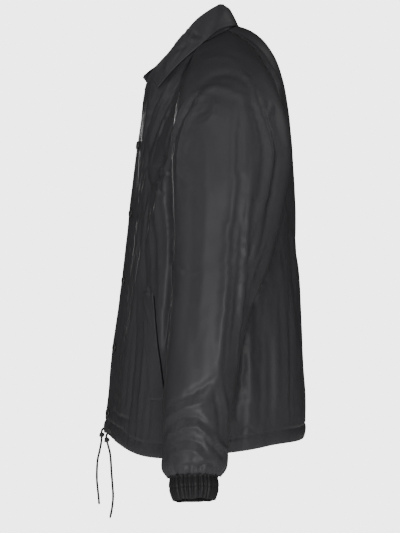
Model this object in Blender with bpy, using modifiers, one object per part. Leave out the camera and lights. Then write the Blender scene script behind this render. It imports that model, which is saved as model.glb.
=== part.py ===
"""Coach jacket in thin nylon, in its worn shape and empty: two fronts that overlap and snap, a back,
raglan sleeves gathered into elastic cuffs, a turned-down collar, slanted pocket welts and a
drawcord hem. The jacket faces -Y, its left side is +X, and the origin is at the neck base."""

import math

import bpy
from mathutils import Vector

# Cloth and seams
WALL = 0.0018
HEM_WALL = 0.0032
COLLAR_WALL = 0.0014
CUFF_WALL = 0.0020
SEAM = 0.0003

# Body: height, half width, y of the front edge, y of the centre back, how far the front edge juts
TORSO = (
    (-0.722, 0.205, -0.1780, 0.1690, 0.018),
    (-0.650, 0.206, -0.1700, 0.1715, 0.016),
    (-0.567, 0.208, -0.1615, 0.1675, 0.015),
    (-0.483, 0.209, -0.1500, 0.1620, 0.014),
    (-0.400, 0.210, -0.1400, 0.1560, 0.013),
    (-0.300, 0.210, -0.1285, 0.1500, 0.013),
)
FULLNESS = 0.88
JUT_WIDTH = 0.035
EDGE_X = -0.010
CHEST_Z = -0.300
SIDE_Y = 0.010

# Hem: turn from the front edge in degrees, height
HEM = (
    (0.0, -0.703),
    (20.0, -0.709),
    (40.0, -0.716),
    (58.0, -0.7165),
    (78.0, -0.710),
    (97.0, -0.703),
    (125.0, -0.697),
    (150.0, -0.701),
    (180.0, -0.706),
)
CASING = 0.0215
CASING_STEP = 0.004

# Front overlap, as turns about the body's axis
OVERLAP_TURN = math.radians(2.2)
PLACKET = 0.016
TUCK_TURN = math.radians(7.0)

# Neckline from the centre back to the centre front: x, y, z
NECK = (
    (0.000, 0.050, 0.000),
    (0.038, 0.046, -0.004),
    (0.066, 0.031, -0.014),
    (0.077, 0.009, -0.026),
    (0.079, -0.017, -0.042),
    (0.069, -0.052, -0.070),
    (0.040, -0.086, -0.095),
    (0.000, -0.104, -0.108),
)
BACK_NOTCH = 2
FRONT_NOTCH = 4
NECK_END = 7

# Raglan seams from the neckline to the underarm, as the two inner handles of a Bezier curve
UNDERARM = (0.210, 0.010, -0.262)
FRONT_RAGLAN = ((0.125, -0.027, -0.085), (0.186, -0.075, -0.190))
BACK_RAGLAN = ((0.114, 0.106, -0.045), (0.182, 0.138, -0.180))
FRONT_NOTCH_TURN = math.radians(24.0)
BACK_NOTCH_TURN = math.radians(156.0)

# How the cloth arrives at the top of the fronts and the back: place along the edge, x, y, z
FRONT_ARRIVES = (
    (0.00, 0.00, 0.02, 0.17),
    (0.25, 0.00, 0.07, 0.17),
    (0.45, 0.00, 0.10, 0.15),
    (0.70, -0.03, 0.09, 0.13),
    (1.00, 0.00, 0.00, 0.05),
)
BACK_ARRIVES = (
    (0.00, 0.00, -0.33, 0.05),
    (0.35, 0.00, -0.28, 0.07),
    (0.65, -0.02, -0.12, 0.14),
    (1.00, 0.00, 0.00, 0.05),
)

# Sleeve from the upper arm to the cuff: height, centre x, centre y, half width, half depth, tilt
SLEEVE = (
    (-0.2835, 0.277, 0.0155, 0.0540, 0.0880, 8.0),
    (-0.3450, 0.287, 0.0085, 0.0560, 0.0800, 8.0),
    (-0.3910, 0.295, 0.0010, 0.0580, 0.0740, 9.0),
    (-0.4310, 0.302, -0.0080, 0.0590, 0.0680, 10.0),
    (-0.4650, 0.308, -0.0175, 0.0590, 0.0620, 10.0),
    (-0.5200, 0.319, -0.0280, 0.0580, 0.0570, 11.0),
    (-0.5735, 0.331, -0.0350, 0.0560, 0.0535, 12.0),
    (-0.6260, 0.343, -0.0415, 0.0530, 0.0515, 14.0),
    (-0.6720, 0.355, -0.0450, 0.0505, 0.0490, 16.0),
    (-0.7000, 0.362, -0.0480, 0.0475, 0.0480, 17.0),
    (-0.7120, 0.366, -0.0490, 0.0385, 0.0385, 17.0),
)
CAP_RISE = 0.18
CAP_LEAVE = 1.05
CAP_ARRIVE = 1.2
CAP_SPREAD_FRONT = 0.5
CAP_SPREAD_BACK = 0.08
GATHERS = 14
GATHER_DEPTH = 0.0016
GATHER_Z = -0.690

# Cuff: length along the sleeve, radius, pleats and their depth
CUFF_LENGTH = 0.034
CUFF_RADIUS = 0.0350
CUFF_BULGE = 0.0030
CUFF_TAPER = 0.0030
CUFF_PLEATS = 28
PLEAT_DEPTH = 0.0013

# Collar: fold line and outer edge from the centre back to the collar point: x, y, z
COLLAR_FOLD = (
    (0.000, 0.041, 0.0230),
    (0.034, 0.037, 0.0275),
    (0.055, 0.018, 0.0305),
    (0.061, -0.014, 0.0100),
    (0.053, -0.042, -0.0195),
    (0.037, -0.074, -0.0580),
    (0.012, -0.097, -0.0840),
)
COLLAR_EDGE = (
    (0.000, 0.0605, -0.0010),
    (0.050, 0.0470, -0.0040),
    (0.082, 0.0165, -0.0150),
    (0.099, -0.0135, -0.0390),
    (0.096, -0.0380, -0.0590),
    (0.081, -0.0620, -0.0815),
    (0.054, -0.0860, -0.1100),
)
COLLAR_ROLL = 0.0030
COLLAR_SKEW = 0.009

# Large folds in the left half: start, end, width, depth
BODY_FOLDS = (
    ((0.165, -0.080, -0.200), (0.060, -0.125, -0.330), 0.016, -0.006),
    ((0.185, -0.070, -0.230), (0.110, -0.120, -0.420), 0.018, 0.006),
    ((0.045, -0.130, -0.300), (0.030, -0.160, -0.560), 0.014, -0.005),
    ((0.105, -0.125, -0.340), (0.085, -0.150, -0.640), 0.020, 0.005),
    ((0.200, -0.040, -0.300), (0.185, -0.090, -0.600), 0.018, -0.006),
    ((0.170, 0.085, -0.220), (0.070, 0.150, -0.400), 0.018, -0.006),
    ((0.190, 0.060, -0.270), (0.120, 0.140, -0.560), 0.020, 0.006),
    ((0.060, 0.150, -0.300), (0.050, 0.165, -0.640), 0.018, -0.004),
    ((0.195, 0.050, -0.400), (0.180, 0.090, -0.690), 0.020, -0.005),
)
SLEEVE_FOLDS = (
    ((0.150, -0.037, -0.115), (0.215, -0.066, -0.200), 0.014, -0.007),
    ((0.230, 0.040, -0.080), (0.345, 0.031, -0.300), 0.018, 0.004),
    ((0.345, 0.031, -0.300), (0.380, -0.016, -0.560), 0.012, 0.005),
    ((0.300, 0.102, -0.200), (0.345, 0.041, -0.455), 0.014, -0.006),
    ((0.330, 0.074, -0.330), (0.370, 0.023, -0.520), 0.012, 0.005),
    ((0.345, -0.054, -0.330), (0.385, -0.046, -0.600), 0.016, -0.004),
    ((0.390, -0.015, -0.590), (0.360, -0.093, -0.650), 0.010, -0.004),
    ((0.300, -0.093, -0.520), (0.330, -0.091, -0.640), 0.012, 0.004),
)

# Welt: ends of the pocket opening as turn about the body and height, and the strip's size
POCKET_TOP = (math.radians(44.5), -0.452)
POCKET_END = (math.radians(59.0), -0.622)
WELT_TURN = math.radians(10.0)
WELT_WALL = 0.0016

# Snaps down the front edge
SNAP_HEIGHTS = (-0.205, -0.322, -0.4385, -0.555, -0.669)
SNAP_TURN = math.radians(0.45)
SNAP_RADIUS = 0.0075
SNAP_HEIGHT = 0.0022

# Drawcord: eyelets in the casing, and each free end's route from its eyelet: x, y, z
EYELET_TURN = math.radians(6.4)
EYELET_Z = -0.6975
EYELET_RADIUS = 0.0048
EYELET_WIRE = 0.0012
CORD_RADIUS = 0.0019
CORD_EXIT = 0.004
CORD_POINTS = 22
KNOT_WALL = 0.0015
KNOT_TALL = 2.2
KNOT_PLACE = 3.0
CORD_LEFT = (
    (0.0300, -0.1725, -0.7030),
    (0.0300, -0.1725, -0.7110),
    (0.0305, -0.1695, -0.7220),
    (0.0300, -0.1665, -0.7350),
    (0.0300, -0.1650, -0.7520),
    (0.0295, -0.1640, -0.7700),
    (0.0290, -0.1625, -0.7900),
    (0.0290, -0.1615, -0.8100),
    (0.0300, -0.1635, -0.8300),
    (0.0305, -0.1670, -0.8470),
)
CORD_RIGHT = (
    (-0.0295, -0.1790, -0.7030),
    (-0.0290, -0.1800, -0.7120),
    (-0.0285, -0.1805, -0.7230),
    (-0.0280, -0.1835, -0.7390),
    (-0.0290, -0.1872, -0.7560),
    (-0.0295, -0.1885, -0.7750),
    (-0.0290, -0.1885, -0.7930),
    (-0.0290, -0.1870, -0.8100),
    (-0.0285, -0.1855, -0.8250),
    (-0.0285, -0.1848, -0.8350),
)

# Grid sizes. The same stretches of seam have the same columns on both of their pieces
BODY_ROWS = 13
CHEST_ROWS = 8
FRONT_NECK_COLUMNS = 3
BACK_NECK_COLUMNS = 3
SLEEVE_NECK_COLUMNS = 4
RAGLAN_COLUMNS = 10
SLEEVE_AROUND = 2 * RAGLAN_COLUMNS + SLEEVE_NECK_COLUMNS
CAP_ROWS = 8
SLEEVE_ROWS = 15
CUFF_ROWS = 3
WELT_ROWS = 12
WELT_COLUMNS = 3
SIDE_TURN = math.radians(0.8)


def hermite(start, end, leave, arrive, t):
    """A point on the cubic curve between two points with the given end directions."""
    s = 1.0 - t
    return (
        start * (s * s * (1.0 + 2.0 * t))
        + end * (t * t * (3.0 - 2.0 * t))
        + leave * (s * s * t)
        - arrive * (t * t * s)
    )


def table_at(rows, place):
    """The values beside a place in a table's first column, on a smooth curve through its rows."""
    count = len(rows)
    index = 0
    while index < count - 2 and place > rows[index + 1][0]:
        index += 1
    low, high = rows[index], rows[index + 1]
    before = rows[max(index - 1, 0)]
    after = rows[min(index + 2, count - 1)]
    span = high[0] - low[0]
    t = (place - low[0]) / span
    values = []
    for column in range(1, len(low)):
        leave = span * (high[column] - before[column]) / (high[0] - before[0])
        arrive = span * (after[column] - low[column]) / (after[0] - low[0])
        values.append(hermite(low[column], high[column], leave, arrive, t))
    return values


def line_at(points, place):
    """A point on a smooth curve through points, where place counts them from 0."""
    count = len(points)
    index = min(max(int(place), 0), count - 2)
    low, high = Vector(points[index]), Vector(points[index + 1])
    before = Vector(points[index - 1]) if index > 0 else low * 2.0 - high
    after = Vector(points[index + 2]) if index + 2 < count else high * 2.0 - low
    return hermite(low, high, (high - before) / 2.0, (after - low) / 2.0, place - index)


def bezier_at(start, handles, end, t):
    """A point on the Bezier curve between two points."""
    s = 1.0 - t
    first, second = Vector(handles[0]), Vector(handles[1])
    return start * s**3 + first * (3 * s * s * t) + second * (3 * s * t * t) + end * t**3


def mirrored(point):
    """The point on the jacket's other side."""
    return Vector((-point.x, point.y, point.z))


def folded(point, outward, folds):
    """The point moved out or in by the folds that pass it."""
    shift = 0.0
    for start, end, width, depth in folds:
        start, end = Vector(start), Vector(end)
        run = end - start
        t = min(max((point - start).dot(run) / run.length_squared, 0.0), 1.0)
        distance = (point - start - run * t).length
        ease = math.sin(math.pi * (0.15 + 0.7 * t))
        shift += depth * ease * math.exp(-((distance / width) ** 2))
    clear = min(max((abs(point.x) - PLACKET) / PLACKET, 0.0), 1.0)
    return point + outward * (shift * clear)


def hem_height(turn):
    """The hem dips from the front edge to the side and rises again to the back."""
    return table_at(HEM, abs(math.degrees(turn)))[0]


def body_point(height, turn):
    """A point of the body below the chest. Turn 0 is the centre front and half a turn the back."""
    half_width, front, back, jut = table_at(TORSO, height)
    across, along = math.sin(turn), math.cos(turn)
    x = half_width * math.copysign(abs(across) ** FULLNESS, across)
    if along <= 0.0:
        return Vector((x, SIDE_Y + (back - SIDE_Y) * abs(along) ** FULLNESS, height))
    fall = jut * (1.0 - math.exp(-abs(x - EDGE_X) / JUT_WIDTH)) * along
    return Vector((x, SIDE_Y + (front - SIDE_Y) * along**FULLNESS + fall, height))


def front_top(turn):
    """The front's upper edge: the neckline, then the raglan seam. Gives the point and its place."""
    if turn <= FRONT_NOTCH_TURN:
        share = abs(turn) / FRONT_NOTCH_TURN
        point = line_at(NECK, NECK_END - share * (NECK_END - FRONT_NOTCH))
        if turn < 0.0:
            point = mirrored(point)
        return point, 0.45 * share
    share = (turn - FRONT_NOTCH_TURN) / (math.pi / 2.0 - FRONT_NOTCH_TURN)
    neck = Vector(NECK[FRONT_NOTCH])
    return bezier_at(neck, FRONT_RAGLAN, Vector(UNDERARM), share), 0.45 + 0.55 * share


def back_top(turn):
    """The back's upper edge on the left half, from the centre back to the underarm."""
    if turn >= BACK_NOTCH_TURN:
        share = (math.pi - turn) / (math.pi - BACK_NOTCH_TURN)
        return line_at(NECK, share * BACK_NOTCH), 0.35 * share
    share = (BACK_NOTCH_TURN - turn) / (BACK_NOTCH_TURN - math.pi / 2.0)
    neck = Vector(NECK[BACK_NOTCH])
    return bezier_at(neck, BACK_RAGLAN, Vector(UNDERARM), share), 0.35 + 0.65 * share


def panel_point(turn, row):
    """A point of a front or the back. Row counts up from the hem through the chest to the top."""
    foot = hem_height(turn)
    if row <= 1.0:
        return body_point(foot + CASING * row, turn)
    above = foot + CASING + CASING_STEP
    if row <= 2.0:
        return body_point(foot + CASING + CASING_STEP * (row - 1.0), turn)
    if row <= BODY_ROWS:
        share = (row - 2.0) / (BODY_ROWS - 2.0)
        return body_point(above + (CHEST_Z - above) * share, turn)
    start = body_point(CHEST_Z, turn)
    below = body_point(CHEST_Z - 0.02, turn)
    if turn <= math.pi / 2.0:
        end, place = front_top(turn)
        arrive = Vector(table_at(FRONT_ARRIVES, place))
    else:
        end, place = back_top(turn)
        arrive = Vector(table_at(BACK_ARRIVES, place))
    leave = (start - below).normalized() * (end - start).length
    return hermite(start, end, leave, arrive, (row - BODY_ROWS) / CHEST_ROWS)


def panel_normal(turn, row):
    """The outward direction of a front or the back."""
    step = 0.02
    last = BODY_ROWS + CHEST_ROWS
    around = panel_point(turn + step, row) - panel_point(turn - step, row)
    up = panel_point(turn, min(row + 0.3, last)) - panel_point(turn, max(row - 0.3, 0.0))
    normal = around.cross(up)
    return normal.normalized() if normal.length > 0.0 else Vector((0.0, -1.0, 0.0))


def sleeve_ring(height, share):
    """A point of the left sleeve below the upper arm, from the inside over the front."""
    centre_x, centre_y, half_width, half_depth, tilt = table_at(
        [(-row[0],) + row[1:] for row in SLEEVE], -height
    )
    turn = 2.0 * math.pi * share
    reach = -half_width * math.cos(turn)
    lean = math.radians(tilt)
    return Vector(
        (
            centre_x + reach * math.cos(lean),
            centre_y - half_depth * math.sin(turn),
            height + reach * math.sin(lean),
        )
    )


def sleeve_start(share):
    """The sleeve's upper edge: front raglan seam, a short stretch of neckline, back raglan seam."""
    underarm = Vector(UNDERARM)
    column = share * SLEEVE_AROUND
    if column <= RAGLAN_COLUMNS:
        neck = Vector(NECK[FRONT_NOTCH])
        return bezier_at(neck, FRONT_RAGLAN, underarm, 1.0 - column / RAGLAN_COLUMNS)
    if column >= RAGLAN_COLUMNS + SLEEVE_NECK_COLUMNS:
        neck = Vector(NECK[BACK_NOTCH])
        past = column - RAGLAN_COLUMNS - SLEEVE_NECK_COLUMNS
        return bezier_at(neck, BACK_RAGLAN, underarm, past / RAGLAN_COLUMNS)
    part = (column - RAGLAN_COLUMNS) / SLEEVE_NECK_COLUMNS
    return line_at(NECK, FRONT_NOTCH + (BACK_NOTCH - FRONT_NOTCH) * part)


def sleeve_point(share, row):
    """A point of the left sleeve. Row counts down from the raglan seam to the cuff."""
    if row > CAP_ROWS:
        part = (row - CAP_ROWS) / SLEEVE_ROWS
        height = SLEEVE[0][0] + (SLEEVE[-1][0] - SLEEVE[0][0]) * part
        point = sleeve_ring(height, share)
        if height < GATHER_Z:
            depth = GATHER_DEPTH * (GATHER_Z - height) / (GATHER_Z - SLEEVE[-1][0])
            middle = Vector(table_at([(-r[0],) + r[1:3] for r in SLEEVE], -height) + [height])
            outward = (point - middle).normalized()
            point += outward * depth * math.cos(2.0 * math.pi * GATHERS * share)
        return point
    top = math.sin(math.pi * share) ** 2
    start = sleeve_start(share)
    end = sleeve_ring(SLEEVE[0][0], share)
    reach = (end - start).length
    spread = CAP_SPREAD_FRONT if share < 0.5 else CAP_SPREAD_BACK
    aside = -spread * math.sin(2.0 * math.pi * share)
    leave = Vector((0.3 + 0.7 * top, aside, -1.0 + (1.0 - CAP_RISE) * top)).normalized()
    start += leave * SEAM * 1.5 + Vector((SEAM, 0.0, 0.0))
    below = sleeve_ring(SLEEVE[0][0] - 0.01, share)
    arrive = (below - end).normalized()
    return hermite(
        start, end, leave * reach * CAP_LEAVE, arrive * reach * CAP_ARRIVE, row / CAP_ROWS
    )


def sleeve_normal(share, row):
    """The outward direction of the left sleeve."""
    last = CAP_ROWS + SLEEVE_ROWS
    around = sleeve_point((share + 0.02) % 1.0, row) - sleeve_point((share - 0.02) % 1.0, row)
    down = sleeve_point(share, min(row + 0.4, last)) - sleeve_point(share, max(row - 0.4, 0.0))
    return down.cross(around).normalized()


def material(name, colour, roughness, metallic=0.0):
    """A Principled material in a plain colour."""
    made = bpy.data.materials.new(name)
    made.use_nodes = True
    shader = made.node_tree.nodes["Principled BSDF"]
    shader.inputs["Base Color"].default_value = (*colour, 1.0)
    shader.inputs["Roughness"].default_value = roughness
    shader.inputs["Metallic"].default_value = metallic
    return made


def add_object(name, data, finish):
    """A named object in the jacket's collection with its material."""
    made = bpy.data.objects.new(name, data)
    data.materials.append(finish)
    bpy.data.collections["Coach jacket"].objects.link(made)
    return made


def grid_faces(columns, rows, closed):
    """Quads over a grid that is stored row by row, joined across its last column when closed."""
    across = columns if closed else columns - 1
    return [
        (
            row * columns + column,
            row * columns + (column + 1) % columns,
            (row + 1) * columns + (column + 1) % columns,
            (row + 1) * columns + column,
        )
        for row in range(rows - 1)
        for column in range(across)
    ]


def add_wall(name, points, columns, finish, wall, closed=False, flip=False):
    """A sheet of grid points, given its thickness on the inside."""
    faces = grid_faces(columns, len(points) // columns, closed)
    if flip:
        faces = [tuple(reversed(face)) for face in faces]
    mesh = bpy.data.meshes.new(name)
    mesh.from_pydata(points, [], faces)
    mesh.shade_smooth()
    made = add_object(name, mesh, finish)
    solidify = made.modifiers.new("Wall", "SOLIDIFY")
    solidify.thickness = wall
    solidify.offset = -1.0
    return made


def thicken_hem(made, columns):
    """Gives the casing at the hem its double cloth."""
    group = made.vertex_groups.new(name="casing")
    group.add(range(2 * columns), 1.0, "REPLACE")
    modifier = made.modifiers["Wall"]
    modifier.vertex_group = group.name
    modifier.thickness = HEM_WALL
    modifier.thickness_vertex_group = WALL / HEM_WALL


def panel_rows():
    """The rows of a front or the back, from the hem to the top."""
    return range(BODY_ROWS + CHEST_ROWS + 1)


def front_turns():
    """The columns of a front, from its edge past the centre to the side seam."""
    neck = [
        OVERLAP_TURN + (FRONT_NOTCH_TURN - OVERLAP_TURN) * n / FRONT_NECK_COLUMNS
        for n in range(FRONT_NECK_COLUMNS)
    ]
    side = math.pi / 2.0
    raglan = [
        FRONT_NOTCH_TURN + (side - FRONT_NOTCH_TURN) * n / RAGLAN_COLUMNS
        for n in range(RAGLAN_COLUMNS + 1)
    ]
    return [-OVERLAP_TURN] + neck + raglan[:-1] + [side - SIDE_TURN, side]


def back_turns():
    """The columns of the back's left half, from the side seam to the centre."""
    side = math.pi / 2.0
    raglan = [
        side + (BACK_NOTCH_TURN - side) * n / RAGLAN_COLUMNS for n in range(RAGLAN_COLUMNS)
    ]
    neck = [
        BACK_NOTCH_TURN + (math.pi - BACK_NOTCH_TURN) * n / BACK_NECK_COLUMNS
        for n in range(BACK_NECK_COLUMNS + 1)
    ]
    return [side, side + SIDE_TURN] + raglan[1:] + neck


def left_front_point(turn, row):
    """A point of the left front with its folds, which end at its top seam."""
    point = panel_point(turn, row)
    if row >= BODY_ROWS + CHEST_ROWS:
        return point
    return folded(point, panel_normal(turn, row), BODY_FOLDS)


def right_front_point(turn, row):
    """A point of the right front, which passes under the left front at the overlap."""
    if turn < FRONT_NOTCH_TURN:
        point, outward = panel_point(-turn, row), panel_normal(-turn, row)
    else:
        point, outward = mirrored(panel_point(turn, row)), mirrored(panel_normal(turn, row))
    if row < BODY_ROWS + CHEST_ROWS:
        point = mirrored(folded(mirrored(point), mirrored(outward), BODY_FOLDS))
    under = WALL if row >= 2 else HEM_WALL
    tuck = min(max(1.0 - (turn - OVERLAP_TURN) / TUCK_TURN, 0.0), 1.0)
    return point - outward * (tuck * (under + 2.0 * SEAM))


def side_ease(row):
    """Half the gap at the side seam, wider under the arm where the cloth turns."""
    return SEAM / 2.0 if row <= BODY_ROWS else 1.8 * SEAM


def front_grid(side):
    """The points of one front, row by row, and its number of columns."""
    turns = front_turns()
    points = []
    for row in panel_rows():
        for turn in turns:
            point = left_front_point(turn, row) if side > 0 else right_front_point(turn, row)
            if turn == turns[-1]:
                point.y -= side_ease(row)
            points.append(point)
    return points, len(turns)


def add_front(side, finish):
    """One front, from its edge past the centre to the side seam."""
    points, columns = front_grid(side)
    name = "front_left" if side > 0 else "front_right"
    made = add_wall(name, points, columns, finish, WALL, flip=side < 0)
    thicken_hem(made, columns)
    return made


def add_back(finish):
    """The back, from side seam to side seam."""
    turns = back_turns()
    last = BODY_ROWS + CHEST_ROWS
    points = []
    for row in panel_rows():
        half = []
        for turn in turns:
            point = panel_point(turn, row)
            outward = panel_normal(turn, row) if turn < math.pi - 0.01 else Vector((0.0, 1.0, 0.0))
            if row < last:
                point = folded(point, outward, BODY_FOLDS)
            half.append(point)
        half[0].y += side_ease(row)
        points += half + [mirrored(point) for point in reversed(half[:-1])]
    columns = 2 * len(turns) - 1
    made = add_wall("back", points, columns, finish, WALL)
    thicken_hem(made, columns)
    return made


def on_grid(points, columns, column, row):
    """A place on the flat faces of a grid, and the outward direction there."""
    left, low = min(int(column), columns - 2), min(int(row), len(points) // columns - 2)
    across, up = column - left, row - low
    corner = points[low * columns + left]
    right = points[low * columns + left + 1]
    over = points[(low + 1) * columns + left]
    far = points[(low + 1) * columns + left + 1]
    bottom, top = corner.lerp(right, across), over.lerp(far, across)
    sides = right.lerp(far, up) - corner.lerp(over, up)
    return bottom.lerp(top, up), sides.cross(top - bottom).normalized()


def seat_on_front(side, turn, height, lift):
    """A place on a front at a turn and a height, moved out, and the outward direction there."""
    points, columns = front_grid(side)
    turns = front_turns()
    left = max(n for n in range(columns - 1) if turns[n] <= turn)
    column = left + (turn - turns[left]) / (turns[left + 1] - turns[left])
    row = 0.0
    while on_grid(points, columns, column, row)[0].z < height:
        row += 0.02
    point, outward = on_grid(points, columns, column, row)
    if side < 0:
        outward = -outward
    return point + outward * lift, outward


def add_sleeve(side, finish):
    """One sleeve, a tube from the raglan seam to the cuff."""
    points = []
    for row in range(CAP_ROWS + SLEEVE_ROWS + 1):
        for column in range(SLEEVE_AROUND):
            share = column / SLEEVE_AROUND
            point = sleeve_point(share, row)
            if 0 < row < CAP_ROWS + SLEEVE_ROWS:
                point = folded(point, sleeve_normal(share, row), SLEEVE_FOLDS)
            points.append(point if side > 0 else mirrored(point))
    name = "sleeve_left" if side > 0 else "sleeve_right"
    return add_wall(name, points, SLEEVE_AROUND, finish, WALL, closed=True, flip=side > 0)


def cuff_frame():
    """The end of the left sleeve: its centre, the way out of it, and the two ways across it."""
    height, x, y, half_width, half_depth, tilt = SLEEVE[-1]
    lean = math.radians(tilt)
    down = Vector((math.sin(lean), 0.0, -math.cos(lean)))
    outer = Vector((math.cos(lean), 0.0, math.sin(lean)))
    return Vector((x, y, height)), down, outer, Vector((0.0, -1.0, 0.0))


def add_cuff(side, finish):
    """One gathered cuff, a pleated ring below the sleeve's end."""
    centre, down, outer, forward = cuff_frame()
    around = 3 * CUFF_PLEATS
    points = []
    for row in range(CUFF_ROWS + 1):
        share = row / CUFF_ROWS
        for column in range(around):
            turn = 2.0 * math.pi * column / around
            uneven = 1.0 + 0.35 * math.sin(3.0 * turn + 0.8) + 0.25 * math.sin(7.0 * turn)
            pleat = PLEAT_DEPTH * uneven * math.cos(CUFF_PLEATS * turn)
            radius = CUFF_RADIUS + CUFF_BULGE * math.sin(math.pi * share) + pleat
            radius -= CUFF_TAPER * share
            across = outer * -math.cos(turn) + forward * math.sin(turn)
            along = down * (SEAM + CUFF_LENGTH * share)
            point = centre + along + across * radius
            points.append(point if side > 0 else mirrored(point))
    name = "cuff_left" if side > 0 else "cuff_right"
    return add_wall(name, points, around, finish, CUFF_WALL, closed=True, flip=side > 0)


def collar_places():
    """The collar's columns on one half, as shares of the neckline from the centre back."""
    overlap = NECK_END - (NECK_END - FRONT_NOTCH) * OVERLAP_TURN / FRONT_NOTCH_TURN
    stretches = (
        (0, BACK_NOTCH, BACK_NECK_COLUMNS),
        (BACK_NOTCH, FRONT_NOTCH, SLEEVE_NECK_COLUMNS),
        (FRONT_NOTCH, overlap, FRONT_NECK_COLUMNS),
        (overlap, NECK_END - 0.06, 1),
    )
    places = [0.0]
    for start, end, columns in stretches:
        places += [(start + (end - start) * (n + 1) / columns) / NECK_END for n in range(columns)]
    return places


def collar_section(place):
    """The collar across its width, from the neck seam over the fold to the outer edge."""
    seam = line_at(NECK, place * NECK_END) + Vector((0.0, 0.0, 1.5 * SEAM))
    fold = line_at(COLLAR_FOLD, place * (len(COLLAR_FOLD) - 1))
    edge = line_at(COLLAR_EDGE, place * (len(COLLAR_EDGE) - 1))
    out = edge - fold
    out.z = 0.0
    out = out.normalized() if out.length > 0.0 else Vector((0.0, 1.0, 0.0))
    return [
        seam,
        seam.lerp(fold, 0.5) + out * 0.001,
        seam.lerp(fold, 0.88),
        fold + out * COLLAR_ROLL * 0.5,
        fold.lerp(edge, 0.12) + out * COLLAR_ROLL,
        fold.lerp(edge, 0.55) + out * COLLAR_ROLL,
        edge,
    ]


def add_collar(finish):
    """The collar, one piece that stands, folds over and lies on the shoulders."""
    places = collar_places()
    half = [collar_section(place) for place in places]
    other = []
    for place in reversed(places[1:]):
        section = [mirrored(point) for point in collar_section(place)]
        for point in section[2:]:
            point.y -= COLLAR_SKEW * place**6
        other.append(section)
    sections = other + half
    points = [section[row] for row in range(len(sections[0])) for section in sections]
    return add_wall("collar", points, len(sections), finish, COLLAR_WALL)


def add_welt(side, finish):
    """One pocket welt, a strip on the front along the front side of the slanted opening."""
    points = []
    for column in range(WELT_COLUMNS + 1):
        for row in range(WELT_ROWS + 1):
            share = row / WELT_ROWS
            turn = POCKET_TOP[0] + (POCKET_END[0] - POCKET_TOP[0]) * share
            height = POCKET_TOP[1] + (POCKET_END[1] - POCKET_TOP[1]) * share
            turn -= WELT_TURN * column / WELT_COLUMNS
            point, outward = seat_on_front(side, turn, height, WELT_WALL + 3.5 * SEAM)
            points.append(point)
    name = "welt_left" if side > 0 else "welt_right"
    return add_wall(name, points, WELT_ROWS + 1, finish, WELT_WALL, flip=side > 0)


def add_snap(number, height, finish):
    """One snap cap, a low round button with a soft rim."""
    point, outward = seat_on_front(1, SNAP_TURN, height, SEAM + SNAP_HEIGHT / 2.0)
    bpy.ops.mesh.primitive_cylinder_add(
        vertices=16, radius=SNAP_RADIUS, depth=SNAP_HEIGHT, location=point
    )
    made = bpy.context.object
    made.rotation_euler = outward.to_track_quat("Z", "Y").to_euler()
    made.name = f"snap_{number}"
    move_to_jacket(made, finish)
    bevel = made.modifiers.new("Rim", "BEVEL")
    bevel.width = 0.0007
    bevel.segments = 2
    return made


def move_to_jacket(made, finish):
    """Moves a primitive into the jacket's collection and gives it its material."""
    for collection in list(made.users_collection):
        collection.objects.unlink(made)
    bpy.data.collections["Coach jacket"].objects.link(made)
    made.data.materials.append(finish)
    made.data.shade_smooth()


def add_eyelet(side, finish):
    """One eyelet, a small ring on the hem casing."""
    name = "eyelet_left" if side > 0 else "eyelet_right"
    point, outward = seat_on_front(side, EYELET_TURN, EYELET_Z, SEAM + EYELET_WIRE)
    bpy.ops.mesh.primitive_torus_add(
        major_radius=EYELET_RADIUS,
        minor_radius=EYELET_WIRE,
        major_segments=16,
        minor_segments=6,
    )
    made = bpy.context.object
    made.name = name
    made.location = point
    made.rotation_euler = outward.to_track_quat("Z", "Y").to_euler()
    move_to_jacket(made, finish)
    return made


def cord_route(side, ways):
    """A free end's route, straight out of its eyelet and then through its own points."""
    start, outward = seat_on_front(side, EYELET_TURN, EYELET_Z, 2.0 * SEAM)
    return [start, start + outward * CORD_EXIT] + [Vector(way) for way in ways]


def add_cord(name, route, finish):
    """One free end of the drawcord, from its eyelet."""
    curve = bpy.data.curves.new(name, "CURVE")
    curve.dimensions = "3D"
    curve.bevel_depth = CORD_RADIUS
    curve.bevel_resolution = 2
    curve.use_fill_caps = True
    spline = curve.splines.new("POLY")
    spline.points.add(CORD_POINTS - 1)
    for number in range(CORD_POINTS):
        place = (len(route) - 1) * number / (CORD_POINTS - 1)
        spline.points[number].co = (*line_at(route, place), 1.0)
    return add_object(name, curve, finish)


def add_knot(name, route, finish):
    """The knot that keeps the drawcord from slipping back, a thick ring round the cord."""
    way = line_at(route, KNOT_PLACE + 0.1) - line_at(route, KNOT_PLACE - 0.1)
    bpy.ops.mesh.primitive_torus_add(
        major_radius=CORD_RADIUS + 1.5 * SEAM + KNOT_WALL,
        minor_radius=KNOT_WALL,
        major_segments=12,
        minor_segments=8,
    )
    made = bpy.context.object
    made.name = name
    made.location = line_at(route, KNOT_PLACE)
    made.rotation_euler = way.to_track_quat("Z", "Y").to_euler()
    made.scale = (1.0, 1.0, KNOT_TALL)
    move_to_jacket(made, finish)
    return made


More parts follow.
